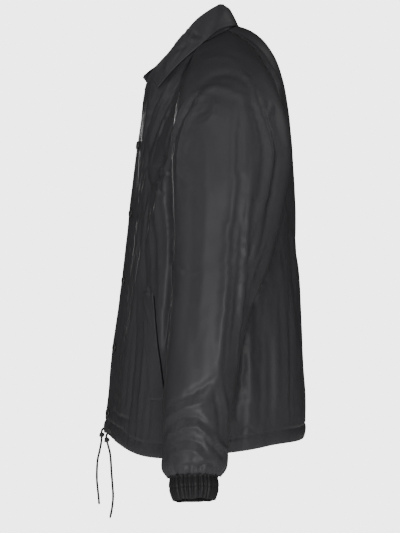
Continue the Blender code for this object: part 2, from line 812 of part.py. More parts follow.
def main():
    for old in list(bpy.data.objects):
        bpy.data.objects.remove(old, do_unlink=True)
    jacket = bpy.data.collections.new("Coach jacket")
    bpy.context.scene.collection.children.link(jacket)
    nylon = material("nylon", (0.035, 0.035, 0.038), 0.42)
    rib = material("cuff nylon", (0.030, 0.030, 0.033), 0.45)
    snap = material("snap lacquer", (0.020, 0.020, 0.022), 0.35)
    cord = material("cord", (0.012, 0.012, 0.012), 0.75)
    for side in (1, -1):
        add_front(side, nylon)
        add_sleeve(side, nylon)
        add_cuff(side, rib)
        add_welt(side, nylon)
        add_eyelet(side, snap)
    add_back(nylon)
    add_collar(nylon)
    for number, height in enumerate(SNAP_HEIGHTS, 1):
        add_snap(number, height, snap)
    for name, side, ways in (("left", 1, CORD_LEFT), ("right", -1, CORD_RIGHT)):
        route = cord_route(side, ways)
        add_cord(f"cord_{name}", route, cord)
        add_knot(f"knot_{name}", route, cord)


main()
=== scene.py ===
"""Dresses the coach jacket: thin nylon cloth with its creases, gathered cuffs, pocket welts,
snap caps, eyelets, stitching and drawcord ends, and the plain stage it hangs in."""

import math

import bmesh
import bpy
import numpy as np
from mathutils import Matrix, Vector, noise


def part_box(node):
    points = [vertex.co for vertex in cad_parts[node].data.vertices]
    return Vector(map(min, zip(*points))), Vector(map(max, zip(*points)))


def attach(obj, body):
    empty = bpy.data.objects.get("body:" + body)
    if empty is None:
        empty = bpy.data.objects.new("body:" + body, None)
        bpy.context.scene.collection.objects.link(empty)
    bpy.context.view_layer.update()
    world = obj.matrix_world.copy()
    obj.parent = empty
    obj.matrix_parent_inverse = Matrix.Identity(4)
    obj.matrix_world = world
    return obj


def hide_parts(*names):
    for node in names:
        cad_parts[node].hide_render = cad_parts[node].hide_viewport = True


bl_info = {
    "name": "Coach jacket",
    "version": (1, 0, 0),
    "blender": (4, 5, 0),
    "location": "3D View > Sidebar > Jacket",
    "description": "Builds the cloth, trims and stage of a nylon coach jacket",
    "category": "Object",
}

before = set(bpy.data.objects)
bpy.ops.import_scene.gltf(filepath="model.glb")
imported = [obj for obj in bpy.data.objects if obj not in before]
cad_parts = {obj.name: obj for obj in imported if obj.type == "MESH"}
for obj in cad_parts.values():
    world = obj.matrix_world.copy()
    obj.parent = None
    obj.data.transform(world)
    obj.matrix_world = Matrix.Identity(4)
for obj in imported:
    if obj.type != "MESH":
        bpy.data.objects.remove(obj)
ROOT = "root"

# Body: height, half width, y of the front edge, y of the centre back, how far the front edge juts
TORSO = (
    (-0.722, 0.205, -0.1780, 0.1690, 0.018),
    (-0.650, 0.206, -0.1700, 0.1715, 0.016),
    (-0.567, 0.208, -0.1615, 0.1675, 0.015),
    (-0.483, 0.209, -0.1500, 0.1620, 0.014),
    (-0.400, 0.210, -0.1400, 0.1560, 0.013),
    (-0.300, 0.210, -0.1285, 0.1500, 0.013),
)
FULLNESS = 0.88
JUT_WIDTH = 0.035
EDGE_X = -0.010
CHEST_Z = -0.300
SIDE_Y = 0.010

# Hem: turn from the front edge in degrees, height
HEM = (
    (0.0, -0.703),
    (20.0, -0.709),
    (40.0, -0.716),
    (58.0, -0.7165),
    (78.0, -0.710),
    (97.0, -0.703),
    (125.0, -0.697),
    (150.0, -0.701),
    (180.0, -0.706),
)
CASING = 0.0215
CASING_STEP = 0.004

OVERLAP_TURN = math.radians(2.2)
TUCK_TURN = math.radians(7.0)
PLACKET = 0.016

# Neckline from the centre back to the centre front: x, y, z
NECK = (
    (0.000, 0.050, 0.000),
    (0.038, 0.046, -0.004),
    (0.066, 0.031, -0.014),
    (0.077, 0.009, -0.026),
    (0.079, -0.017, -0.042),
    (0.069, -0.052, -0.070),
    (0.040, -0.086, -0.095),
    (0.000, -0.104, -0.108),
)
BACK_NOTCH = 2
FRONT_NOTCH = 4
NECK_END = 7

# Raglan seams from the neckline to the underarm
UNDERARM = (0.210, 0.010, -0.262)
FRONT_RAGLAN = ((0.125, -0.027, -0.085), (0.186, -0.075, -0.190))
BACK_RAGLAN = ((0.114, 0.106, -0.045), (0.182, 0.138, -0.180))
FRONT_NOTCH_TURN = math.radians(24.0)
BACK_NOTCH_TURN = math.radians(156.0)

# How the cloth arrives at the top of the fronts and the back: place along the edge, x, y, z
FRONT_ARRIVES = (
    (0.00, 0.00, 0.02, 0.17),
    (0.25, 0.00, 0.07, 0.17),
    (0.45, 0.00, 0.10, 0.15),
    (0.70, -0.03, 0.09, 0.13),
    (1.00, 0.00, 0.00, 0.05),
)
BACK_ARRIVES = (
    (0.00, 0.00, -0.33, 0.05),
    (0.35, 0.00, -0.28, 0.07),
    (0.65, -0.02, -0.12, 0.14),
    (1.00, 0.00, 0.00, 0.05),
)

# Sleeve from the upper arm to the cuff: height, centre x, centre y, half width, half depth, tilt
SLEEVE = (
    (-0.2835, 0.277, 0.0155, 0.0540, 0.0880, 8.0),
    (-0.3450, 0.287, 0.0085, 0.0560, 0.0800, 8.0),
    (-0.3910, 0.295, 0.0010, 0.0580, 0.0740, 9.0),
    (-0.4310, 0.302, -0.0080, 0.0590, 0.0680, 10.0),
    (-0.4650, 0.308, -0.0175, 0.0590, 0.0620, 10.0),
    (-0.5200, 0.319, -0.0280, 0.0580, 0.0570, 11.0),
    (-0.5735, 0.331, -0.0350, 0.0560, 0.0535, 12.0),
    (-0.6260, 0.343, -0.0415, 0.0530, 0.0515, 14.0),
    (-0.6720, 0.355, -0.0450, 0.0505, 0.0490, 16.0),
    (-0.7000, 0.362, -0.0480, 0.0475, 0.0480, 17.0),
    (-0.7120, 0.366, -0.0490, 0.0385, 0.0385, 17.0),
)
CAP_RISE = 0.18
CAP_LEAVE = 1.05
CAP_ARRIVE = 1.2
CAP_SPREAD_FRONT = 0.5
CAP_SPREAD_BACK = 0.08

# Collar: fold line and outer edge from the centre back to the collar point: x, y, z
COLLAR_FOLD = (
    (0.000, 0.041, 0.0230),
    (0.034, 0.037, 0.0275),
    (0.055, 0.018, 0.0305),
    (0.061, -0.014, 0.0100),
    (0.053, -0.042, -0.0195),
    (0.037, -0.074, -0.0580),
    (0.012, -0.097, -0.0840),
)
COLLAR_EDGE = (
    (0.000, 0.0605, -0.0010),
    (0.050, 0.0470, -0.0040),
    (0.082, 0.0165, -0.0150),
    (0.099, -0.0135, -0.0390),
    (0.096, -0.0380, -0.0590),
    (0.081, -0.0620, -0.0815),
    (0.054, -0.0860, -0.1100),
)
COLLAR_ROLL = 0.0030
COLLAR_SKEW = 0.009

# Large folds in the left half: start, end, width, depth
BODY_FOLDS = (
    ((0.165, -0.080, -0.200), (0.060, -0.125, -0.330), 0.016, -0.006),
    ((0.185, -0.070, -0.230), (0.110, -0.120, -0.420), 0.018, 0.006),
    ((0.045, -0.130, -0.300), (0.030, -0.160, -0.560), 0.014, -0.005),
    ((0.105, -0.125, -0.340), (0.085, -0.150, -0.640), 0.020, 0.005),
    ((0.200, -0.040, -0.300), (0.185, -0.090, -0.600), 0.018, -0.006),
    ((0.170, 0.085, -0.220), (0.070, 0.150, -0.400), 0.018, -0.006),
    ((0.190, 0.060, -0.270), (0.120, 0.140, -0.560), 0.020, 0.006),
    ((0.060, 0.150, -0.300), (0.050, 0.165, -0.640), 0.018, -0.004),
    ((0.195, 0.050, -0.400), (0.180, 0.090, -0.690), 0.020, -0.005),
)
SLEEVE_FOLDS = (
    ((0.150, -0.037, -0.115), (0.215, -0.066, -0.200), 0.014, -0.007),
    ((0.230, 0.040, -0.080), (0.345, 0.031, -0.300), 0.018, 0.004),
    ((0.345, 0.031, -0.300), (0.380, -0.016, -0.560), 0.012, 0.005),
    ((0.300, 0.102, -0.200), (0.345, 0.041, -0.455), 0.014, -0.006),
    ((0.330, 0.074, -0.330), (0.370, 0.023, -0.520), 0.012, 0.005),
    ((0.345, -0.054, -0.330), (0.385, -0.046, -0.600), 0.016, -0.004),
    ((0.390, -0.015, -0.590), (0.360, -0.093, -0.650), 0.010, -0.004),
    ((0.300, -0.093, -0.520), (0.330, -0.091, -0.640), 0.012, 0.004),
)

POCKET_TOP = (math.radians(44.5), -0.452)
POCKET_END = (math.radians(59.0), -0.622)
WELT_TURN = math.radians(10.0)

SNAP_HEIGHTS = (-0.205, -0.322, -0.4385, -0.555, -0.669)
SNAP_TURN = math.radians(0.45)

EYELET_TURN = math.radians(6.4)
EYELET_Z = -0.6975
CORD_EXIT = 0.004
KNOT_PLACE = 3.0
CORD_LEFT = (
    (0.0300, -0.1725, -0.7030),
    (0.0300, -0.1725, -0.7110),
    (0.0305, -0.1695, -0.7220),
    (0.0300, -0.1665, -0.7350),
    (0.0300, -0.1650, -0.7520),
    (0.0295, -0.1640, -0.7700),
    (0.0290, -0.1625, -0.7900),
    (0.0290, -0.1615, -0.8100),
    (0.0300, -0.1635, -0.8300),
    (0.0305, -0.1670, -0.8470),
)
CORD_RIGHT = (
    (-0.0295, -0.1790, -0.7030),
    (-0.0290, -0.1800, -0.7120),
    (-0.0285, -0.1805, -0.7230),
    (-0.0280, -0.1835, -0.7390),
    (-0.0290, -0.1872, -0.7560),
    (-0.0295, -0.1885, -0.7750),
    (-0.0290, -0.1885, -0.7930),
    (-0.0290, -0.1870, -0.8100),
    (-0.0285, -0.1855, -0.8250),
    (-0.0285, -0.1848, -0.8350),
)

# How finely each piece is divided: rows along it and columns across or round it
HEM_ROWS, STEP_ROWS, PANEL_ROWS = 8, 3, 226
FRONT_COLUMNS, BACK_COLUMNS = 122, 168
CAP_FINE_ROWS, ARM_FINE_ROWS, ARM_COLUMNS = 90, 168, 132
COLLAR_ROWS, COLLAR_COLUMNS = 60, 240
PLEAT_COLUMNS = 12
CORD_STEPS = 96

# The cuff: its length, its radius at the seam, how far it swells and how far it draws in below
CUFF_LENGTH = 0.034
CUFF_RADIUS = 0.0350
CUFF_SWELL = 0.0030
CUFF_DRAW = 0.0030
CUFF_OUTER_ROWS = 26
CUFF_TURN_ROWS = 6
CUFF_INNER_ROWS = 13
CUFF_INNER_STEP = 1.0 / 22.0

# Sewing: how far the front's facing is stitched from its edge, the edge stitch of the front and of
# the collar, and the gap from a raglan seam to its stitching in rows
PLACKET_STITCH = 0.052
EDGE_STITCH = 0.0045
COLLAR_STITCH = 0.006
RAGLAN_STITCH = 0.12

# Seams lie in a groove: how far the cloth stands above it, and over what distance. Creases die out
# towards a seam over the last distance
SEAM_RISE = (0.0005, 0.0045)
SEAM_CALM = 0.010
HEM_FOLD = 0.0030
COLLAR_WALL = 0.0012
STITCH_LIFT = 0.0001

# Pocket welt: its size on the cloth, how high its stitching lies, and how far the edge stitches are
# in from its edges, across it and along it
WELT_WIDE, WELT_LONG = 0.035, 0.175
WELT_STITCH_LIFT = 0.0027
WELT_STITCH_ACROSS = (0.07, 0.93)
WELT_STITCH_ALONG = (0.015, 0.985)
WELT_END_STITCH = (0.02, 0.98)

# A crease of the photograph takes the cloth that faces the camera at least so much, and passes
# within so many pixels of its place
SEEN_FACING = 0.12
SEEN_WITHIN = 4.0

# Turned fittings from the middle out: radius, height and how much it is rubbed
SNAP_PROFILE = (
    (0.0004, 0.00085, 0.0),
    (0.0018, 0.00090, 0.1),
    (0.0030, 0.00120, 0.3),
    (0.0036, 0.00165, 0.6),
    (0.0042, 0.00150, 0.1),
    (0.0049, 0.00120, 0.0),
    (0.0055, 0.00150, 0.2),
    (0.0061, 0.00215, 0.8),
    (0.0067, 0.00240, 1.0),
    (0.0072, 0.00205, 0.7),
    (0.0075, 0.00130, 0.2),
    (0.0075, 0.00020, 0.0),
    (0.0072, -0.00030, 0.0),
)
EYELET_PROFILE = (
    (0.0036, -0.00060, 0.0),
    (0.0036, 0.00080, 0.3),
    (0.0039, 0.00160, 0.8),
    (0.0046, 0.00190, 1.0),
    (0.0054, 0.00150, 0.6),
    (0.0059, 0.00060, 0.2),
    (0.0060, -0.00040, 0.0),
)

# The weave's threads, the cord's plaits along it, and how many go round it
WEAVE_PITCH = 0.00062
PLAIT_PITCH = 0.0024
PLAITS_ROUND = 6.0

# The camera: turn round the jacket in degrees, distance, height, pixels to a metre and the middle
# of the jacket in the picture. It aims at a point so far to the right and so high
EYE_TURN = 85.0
EYE_REACH = 2.5
EYE_HEIGHT = -0.299
EYE_SCALE = 575.0
EYE_MIDDLE = (205.0, 200.0)
EYE_LENS = 97.1
EYE_AIM = (-0.0087, -0.4147)

# The studio: the floor, the brightness that lights the jacket and that the camera sees behind it,
# and the soft lights: name, place, what it faces, size and power
FLOOR_Z = -1.25
FLOOR_NEAR, FLOOR_FAR, FLOOR_SIDE = 3.6, -1.5, 4.0
STUDIO_GLOW = (0.04, 4.0)
JACKET_MIDDLE = (0.0, 0.0, -0.42)
LIGHTS = (
    ("key", (3.1, -0.35, -0.45), JACKET_MIDDLE, 0.9, 58.0),
    ("top", (1.6, -0.2, 1.8), JACKET_MIDDLE, 1.1, 15.0),
    ("front", (-0.4, -3.0, 1.6), (0.2, -2.5, FLOOR_Z), 1.8, 26.0),
    ("back", (-0.4, 3.0, 1.6), (0.2, 2.5, FLOOR_Z), 1.8, 26.0),
    ("right", (-3.1, -0.3, -0.2), JACKET_MIDDLE, 1.2, 60.0),
)

# Rows of the body and the sleeve, counted as the forms below count them
BODY_ROWS = 13
CHEST_ROWS = 8
BODY_TOP = BODY_ROWS + CHEST_ROWS
CAP_ROWS = 8
SLEEVE_ROWS = 15
SLEEVE_END = CAP_ROWS + SLEEVE_ROWS
RAGLAN_COLUMNS = 10
SLEEVE_NECK_COLUMNS = 4
SLEEVE_AROUND = 2 * RAGLAN_COLUMNS + SLEEVE_NECK_COLUMNS

# Creases that the photograph shows on the left side. Each passes through its places in the
# photograph, in pixels, and has a width and a depth in mm. Depth is negative for a trough
FRONT_SEEN = (
    (((179, 122), (174, 140), (171, 160), (170, 185), (170, 210), (171, 235), (171, 262)), 5.2, -14.0),
    (((172, 240), (170, 270), (168, 300), (165, 330), (164, 350)), 5.5, -8.0),
    (((166, 150), (162, 175), (160, 205), (160, 240), (161, 280), (159, 320)), 8, 3.0),
    (((154, 165), (161, 162), (168, 160)), 5.2, -2.6),
    (((155, 179), (161, 178), (168, 176)), 5.4, -2.8),
    (((156, 172), (162, 170), (168, 168)), 5.6, 1.8),
    (((158, 187), (164, 191), (168, 197)), 5.2, -1.8),
    (((176, 90), (163, 109), (151, 140)), 7, 2.6),
    (((182, 93), (169, 115), (158, 143)), 6, -3.4),
    (((188, 97), (176, 119), (165, 146)), 6, 3.2),
    (((192, 104), (182, 124), (172, 146)), 6, -4.0),
    (((167, 84), (155, 104), (147, 132)), 7, -2.8),
    (((140, 160), (140, 200), (139, 240), (136, 280), (131, 330)), 3.4, 1.6),
    (((148, 145), (148, 190), (147, 240), (146, 290)), 8, -3.4),
    (((153, 205), (153, 250), (152, 285)), 6, 1.6),
    (((148, 285), (150, 291), (152, 297)), 3.4, -2.6),
    (((145, 300), (149, 312), (153, 330)), 4, 1.5),
    (((138, 300), (135, 350), (131, 395), (127, 430)), 6, -2.4),
    (((146, 320), (144, 365), (140, 405), (137, 440)), 6, 2.2),
    (((128, 330), (124, 370), (119, 405)), 5, 1.8),
    (((151, 395), (149, 420), (148, 445)), 5, -2.0),
    (((120, 380), (117, 405), (117, 428)), 4, -2.0),
    (((133, 290), (129, 320), (124, 352)), 5, -1.8),
    (((112, 412), (120, 418), (131, 421)), 4, -1.8),
    (((110, 424), (119, 429), (128, 436)), 3.6, -1.8),
)
BACK_SEEN = (
    (((283, 215), (275, 245), (266, 270), (255, 290), (247, 306)), 8, -6.0),
    (((246, 320), (243, 350), (241, 385), (236, 420)), 6, -3.4),
    (((254, 310), (251, 350), (250, 400), (248, 432)), 6, 2.6),
    (((265, 300), (263, 350), (262, 400), (260, 430)), 7, -2.4),
    (((276, 290), (276, 340), (277, 390), (276, 425)), 7, 2.2),
    (((287, 280), (288, 330), (290, 380), (291, 420)), 6, -1.8),
    (((240, 436), (248, 430), (258, 434)), 4, -1.8),
    (((262, 60), (272, 80), (281, 110), (287, 150)), 7, 1.8),
)
SLEEVE_SEEN = (
    (((193, 104), (203, 94), (214, 88), (227, 91), (240, 98)), 9, 3.0),
    (((196, 92), (208, 80), (224, 74), (240, 80), (252, 92)), 10, -2.2),
    (((196, 96), (188, 107), (180, 121), (175, 136), (172, 152)), 6, -10.0),
    (((200, 101), (193, 112), (187, 125), (182, 140), (179, 160), (178, 190)), 6, 3.4),
    (((240, 74), (251, 86), (262, 117), (271, 147), (272, 163), (265, 203), (254, 258)), 5, 3.4),
    (((246, 92), (256, 122), (263, 152), (262, 175), (256, 205), (249, 245)), 6, -3.4),
    (((262, 100), (270, 120), (277, 150), (277, 175), (270, 215), (261, 255)), 5, -2.8),
    (((272, 104), (271, 111), (270, 119)), 3.2, -3.4),
    (((252, 160), (248, 205), (246, 255), (242, 298), (238, 335), (236, 364)), 5, 3.2),
    (((244, 180), (241, 230), (238, 275), (234, 315), (230, 350)), 5, -3.0),
    (((235, 105), (233, 190), (227, 243), (225, 282), (220, 337), (218, 376)), 6, 2.8),
    (((240, 120), (239, 185), (234, 240), (231, 285), (226, 335), (223, 372)), 5, -2.8),
    (((190, 112), (195, 101), (206, 97), (214, 104), (211, 118), (200, 126), (192, 121)), 3.2, 1.5),
    (((196, 118), (204, 112), (210, 104)), 3.2, -1.4),
    (((180, 150), (186, 163), (196, 172)), 4, -1.8),
    (((178, 170), (185, 182), (196, 188)), 4, 1.4),
    (((205, 140), (206, 210), (202, 280), (196, 340)), 9, 2.0),
    (((192, 160), (191, 230), (187, 300), (182, 350)), 8, -1.8),
    (((172, 262), (184, 270), (200, 271)), 5, -1.4),
    (((167, 409), (183, 399), (203, 388), (216, 376)), 6, -2.6),
    (((167, 419), (181, 410), (199, 405), (212, 398)), 6, 2.8),
    (((168, 427), (182, 419), (197, 418), (210, 428)), 5, -3.0),
    (((167, 437), (180, 430), (195, 428), (207, 436), (214, 450)), 5, 3.4),
    (((172, 446), (186, 441), (199, 444), (207, 454)), 4, -2.6),
    (((170, 456), (184, 451), (197, 455), (206, 466)), 5, 2.6),
    (((177, 472), (188, 467), (198, 470), (209, 465), (218, 472)), 3.8, -4.0),
    (((206, 440), (215, 451), (225, 461)), 4, -3.0),
    (((212, 434), (220, 445), (228, 452)), 4, 2.6),
    (((221, 380), (226, 410), (226, 435)), 5, 2.4),
    (((215, 392), (219, 415), (220, 436)), 5, -2.6),
    (((262, 215), (255, 240), (247, 262), (240, 280)), 5, -2.4),
    (((268, 240), (259, 262), (250, 284)), 4, 2.2),
    (((205, 62), (222, 58), (240, 66)), 8, 1.2),
)
COLLAR_SEEN = (
    (((187, 31), (193, 35), (201, 37)), 3.4, -2.0),
    (((186, 37), (194, 41), (203, 42)), 3.4, 1.3),
    (((172, 52), (180, 50), (190, 44)), 5, -0.9),
)

# Creases out of the photograph's sight, in the left half. Each goes through three places, as turn
# in degrees and row, with its width and depth in mm. The body's rows count up from the hem
FRONT_CREASES = (
    ((24, 20.4), (19, 17.2), (12, 13.0), 7, -1.8),
    ((31, 19.7), (25, 16.6), (17, 12.0), 6, 1.5),
    ((12, 20.0), (9, 16.5), (8, 12.0), 7, -1.2),
    ((20, 14.6), (22, 11.0), (21, 6.5), 9, -2.2),
    ((13, 13.0), (13, 8.0), (12, 3.0), 8, 1.2),
    ((26, 9.0), (26, 6.0), (25, 2.6), 7, -1.4),
    ((74, 12.0), (73, 7.0), (75, 2.8), 11, 2.6),
    ((84, 13.0), (83, 8.0), (84, 3.0), 9, -2.4),
)
BACK_CREASES = (
    ((122, 19.0), (135, 17.0), (150, 13.5), 11, -3.0),
    ((116, 18.0), (130, 15.6), (143, 11.5), 10, 2.6),
    ((108, 17.2), (120, 14.4), (132, 9.5), 11, -3.4),
    ((101, 16.0), (110, 13.4), (121, 8.6), 10, 2.6),
    ((96, 15.0), (103, 12.0), (110, 6.4), 10, -2.8),
    ((92, 13.6), (97, 10.0), (101, 4.6), 9, 2.2),
    ((140, 15.0), (146, 10.0), (145, 4.0), 12, -2.4),
    ((158, 18.0), (160, 12.0), (159, 5.0), 13, 2.2),
    ((170, 19.0), (172, 13.0), (171, 6.0), 12, -1.6),
    ((128, 10.0), (131, 6.0), (130, 2.7), 10, 2.0),
    ((116, 7.6), (118, 5.0), (117, 2.7), 9, -2.2),
    ((152, 8.0), (153, 5.0), (152, 2.6), 10, -1.6),
    ((104, 6.0), (106, 4.0), (105, 2.6), 8, 1.6),
    ((138, 20.0), (150, 19.0), (168, 18.6), 12, -1.8),
    ((126, 20.2), (140, 18.6), (160, 17.2), 9, 1.4),
    ((164, 9.0), (166, 6.0), (165, 2.6), 9, 1.4),
)

# The sleeve's turn is from its inner side over its front, and its rows count down from its top seam
SLEEVE_CREASES = (
    ((70, 10.0), (50, 11.4), (20, 12.0), 10, -2.6),
    ((62, 12.4), (40, 13.4), (14, 13.6), 9, 2.2),
    ((74, 14.2), (50, 15.2), (20, 15.4), 9, -2.2),
    ((280, 8.0), (300, 10.0), (320, 13.0), 11, -2.6),
    ((292, 12.0), (310, 14.0), (330, 16.0), 10, 2.4),
    ((270, 16.0), (290, 17.6), (320, 18.6), 10, -2.4),
    ((300, 4.0), (320, 6.4), (340, 8.6), 9, -2.6),
    ((60, 3.6), (44, 5.8), (26, 7.6), 9, -2.8),
    ((50, 2.6), (36, 4.6), (20, 6.4), 7, 2.0),
    ((30, 18.0), (54, 19.4), (84, 20.4), 9, -2.4),
)

# Creases in the collar: place from the centre back, and how far across it from the neck seam
COLLAR_CREASES = (
    ((0.62, 4.2), (0.70, 5.0), (0.80, 5.4), 7, -0.8),
    ((0.20, 4.0), (0.30, 4.8), (0.38, 5.6), 9, 0.8),
    ((0.82, 4.4), (0.86, 5.0), (0.90, 5.8), 6, 0.6),
    ((-0.30, 3.8), (-0.36, 4.6), (-0.44, 5.0), 6, -1.2),
    ((-0.60, 4.0), (-0.68, 4.8), (-0.76, 5.6), 7, 0.8),
)


# The fronts' finished cloth and the lines to be stitched, which later pieces read
CLOTHS = {}
STITCH_LINES = []


def hermite(start, end, leave, arrive, t):
    """A point on the cubic curve between two points with the given end directions."""
    s = 1.0 - t
    return (
        start * (s * s * (1.0 + 2.0 * t))
        + end * (t * t * (3.0 - 2.0 * t))
        + leave * (s * s * t)
        - arrive * (t * t * s)
    )


def table_at(rows, place):
    """The values beside a place in a table's first column, on a smooth curve through its rows."""
    count = len(rows)
    index = 0
    while index < count - 2 and place > rows[index + 1][0]:
        index += 1
    low, high = rows[index], rows[index + 1]
    before = rows[max(index - 1, 0)]
    after = rows[min(index + 2, count - 1)]
    span = high[0] - low[0]
    t = (place - low[0]) / span
    values = []
    for column in range(1, len(low)):
        leave = span * (high[column] - before[column]) / (high[0] - before[0])
        arrive = span * (after[column] - low[column]) / (after[0] - low[0])
        values.append(hermite(low[column], high[column], leave, arrive, t))
    return values


def line_at(points, place):
    """A point on a smooth curve through points, where place counts them from 0."""
    count = len(points)
    index = min(max(int(place), 0), count - 2)
    low, high = Vector(points[index]), Vector(points[index + 1])
    before = Vector(points[index - 1]) if index > 0 else low * 2.0 - high
    after = Vector(points[index + 2]) if index + 2 < count else high * 2.0 - low
    return hermite(low, high, (high - before) / 2.0, (after - low) / 2.0, place - index)


def bezier_at(start, handles, end, t):
    """A point on the Bezier curve between two points."""
    s = 1.0 - t
    first, second = Vector(handles[0]), Vector(handles[1])
    return start * s**3 + first * (3 * s * s * t) + second * (3 * s * t * t) + end * t**3


def mirrored(point):
    """The point on the jacket's other side."""
    return Vector((-point.x, point.y, point.z))


def hem_height(turn):
    """The hem dips from the front edge to the side and rises again to the back."""
    return table_at(HEM, abs(math.degrees(turn)))[0]


def body_point(height, turn):
    """A point of the body below the chest. Turn 0 is the centre front and half a turn the back."""
    half_width, front, back, jut = table_at(TORSO, height)
    across, along = math.sin(turn), math.cos(turn)
    x = half_width * math.copysign(abs(across) ** FULLNESS, across)
    if along <= 0.0:
        return Vector((x, SIDE_Y + (back - SIDE_Y) * abs(along) ** FULLNESS, height))
    fall = jut * (1.0 - math.exp(-abs(x - EDGE_X) / JUT_WIDTH)) * along
    return Vector((x, SIDE_Y + (front - SIDE_Y) * along**FULLNESS + fall, height))


def body_top(turn):
    """The upper edge of a front or the back at a turn, and how the cloth arrives there."""
    side = abs(turn)
    if side <= FRONT_NOTCH_TURN:
        share = side / FRONT_NOTCH_TURN
        point = line_at(NECK, NECK_END - share * (NECK_END - FRONT_NOTCH))
        arrive = Vector(table_at(FRONT_ARRIVES, 0.45 * share))
    elif side <= math.pi / 2.0:
        share = (side - FRONT_NOTCH_TURN) / (math.pi / 2.0 - FRONT_NOTCH_TURN)
        point = bezier_at(Vector(NECK[FRONT_NOTCH]), FRONT_RAGLAN, Vector(UNDERARM), share)
        arrive = Vector(table_at(FRONT_ARRIVES, 0.45 + 0.55 * share))
    elif side < BACK_NOTCH_TURN:
        share = (BACK_NOTCH_TURN - side) / (BACK_NOTCH_TURN - math.pi / 2.0)
        point = bezier_at(Vector(NECK[BACK_NOTCH]), BACK_RAGLAN, Vector(UNDERARM), share)
        arrive = Vector(table_at(BACK_ARRIVES, 0.35 + 0.65 * share))
    else:
        share = (math.pi - side) / (math.pi - BACK_NOTCH_TURN)
        point = line_at(NECK, share * BACK_NOTCH)
        arrive = Vector(table_at(BACK_ARRIVES, 0.35 * share))
    return (point, arrive) if turn >= 0.0 else (mirrored(point), mirrored(arrive))


def body_form(turn, row):
    """A point of the body. Row counts up from the hem through the chest to the top."""
    if turn > math.pi:
        return mirrored(body_form(2.0 * math.pi - turn, row))
    foot = hem_height(turn)
    if row <= 1.0:
        return body_point(foot + CASING * row, turn)
    above = foot + CASING + CASING_STEP
    if row <= 2.0:
        return body_point(foot + CASING + CASING_STEP * (row - 1.0), turn)
    if row <= BODY_ROWS:
        share = (row - 2.0) / (BODY_ROWS - 2.0)
        return body_point(above + (CHEST_Z - above) * share, turn)
    start = body_point(CHEST_Z, turn)
    below = body_point(CHEST_Z - 0.02, turn)
    end, arrive = body_top(turn)
    leave = (start - below).normalized() * (end - start).length
    return hermite(start, end, leave, arrive, (row - BODY_ROWS) / CHEST_ROWS)


def sleeve_ring(height, share):
    """A point of the left sleeve below the upper arm, from the inside over the front."""
    centre_x, centre_y, half_width, half_depth, tilt = table_at(
        [(-row[0],) + row[1:] for row in SLEEVE], -height
    )
    turn = 2.0 * math.pi * share
    reach = -half_width * math.cos(turn)
    lean = math.radians(tilt)
    return Vector(
        (
            centre_x + reach * math.cos(lean),
            centre_y - half_depth * math.sin(turn),
            height + reach * math.sin(lean),
        )
    )


def sleeve_start(share):
    """The sleeve's upper edge: front raglan seam, a short stretch of neckline, back raglan seam."""
    underarm = Vector(UNDERARM)
    column = share * SLEEVE_AROUND
    if column <= RAGLAN_COLUMNS:
        neck = Vector(NECK[FRONT_NOTCH])
        return bezier_at(neck, FRONT_RAGLAN, underarm, 1.0 - column / RAGLAN_COLUMNS)
    if column >= RAGLAN_COLUMNS + SLEEVE_NECK_COLUMNS:
        neck = Vector(NECK[BACK_NOTCH])
        past = column - RAGLAN_COLUMNS - SLEEVE_NECK_COLUMNS
        return bezier_at(neck, BACK_RAGLAN, underarm, past / RAGLAN_COLUMNS)
    part = (column - RAGLAN_COLUMNS) / SLEEVE_NECK_COLUMNS
    return line_at(NECK, FRONT_NOTCH + (BACK_NOTCH - FRONT_NOTCH) * part)


def sleeve_form(turn, row):
    """A point of the left sleeve. Row counts down from the raglan seam to the cuff."""
    share = (turn / (2.0 * math.pi)) % 1.0
    if row > CAP_ROWS:
        part = (row - CAP_ROWS) / SLEEVE_ROWS
        return sleeve_ring(SLEEVE[0][0] + (SLEEVE[-1][0] - SLEEVE[0][0]) * part, share)
    top = math.sin(math.pi * share) ** 2
    start = sleeve_start(share)
    end = sleeve_ring(SLEEVE[0][0], share)
    reach = (end - start).length
    spread = CAP_SPREAD_FRONT if share < 0.5 else CAP_SPREAD_BACK
    aside = -spread * math.sin(2.0 * math.pi * share)
    leave = Vector((0.3 + 0.7 * top, aside, -1.0 + (1.0 - CAP_RISE) * top)).normalized()
    below = sleeve_ring(SLEEVE[0][0] - 0.01, share)
    arrive = (below - end).normalized()
    return hermite(
        start, end, leave * reach * CAP_LEAVE, arrive * reach * CAP_ARRIVE, row / CAP_ROWS
    )


def collar_form(place, across):
    """A point of the collar. Place runs from the centre back to 1 at the left collar point."""
    side = abs(place)
    seam = line_at(NECK, side * (NECK_END - 0.06))
    fold = line_at(COLLAR_FOLD, side * (len(COLLAR_FOLD) - 1))
    edge = line_at(COLLAR_EDGE, side * (len(COLLAR_EDGE) - 1))
    out = edge - fold
    out.z = 0.0
    out = out.normalized() if out.length > 0.0 else Vector((0.0, 1.0, 0.0))
    section = (
        seam,
        seam.lerp(fold, 0.5) + out * 0.001,
        seam.lerp(fold, 0.88),
        fold + out * COLLAR_ROLL * 0.5,
        fold.lerp(edge, 0.12) + out * COLLAR_ROLL,
        fold.lerp(edge, 0.55) + out * COLLAR_ROLL,
        edge,
    )
    point = line_at(section, across)
    if place < 0.0:
        point.y -= COLLAR_SKEW * side**6 * min(max(across - 1.0, 0.0), 1.0)
        return mirrored(point)
    return point


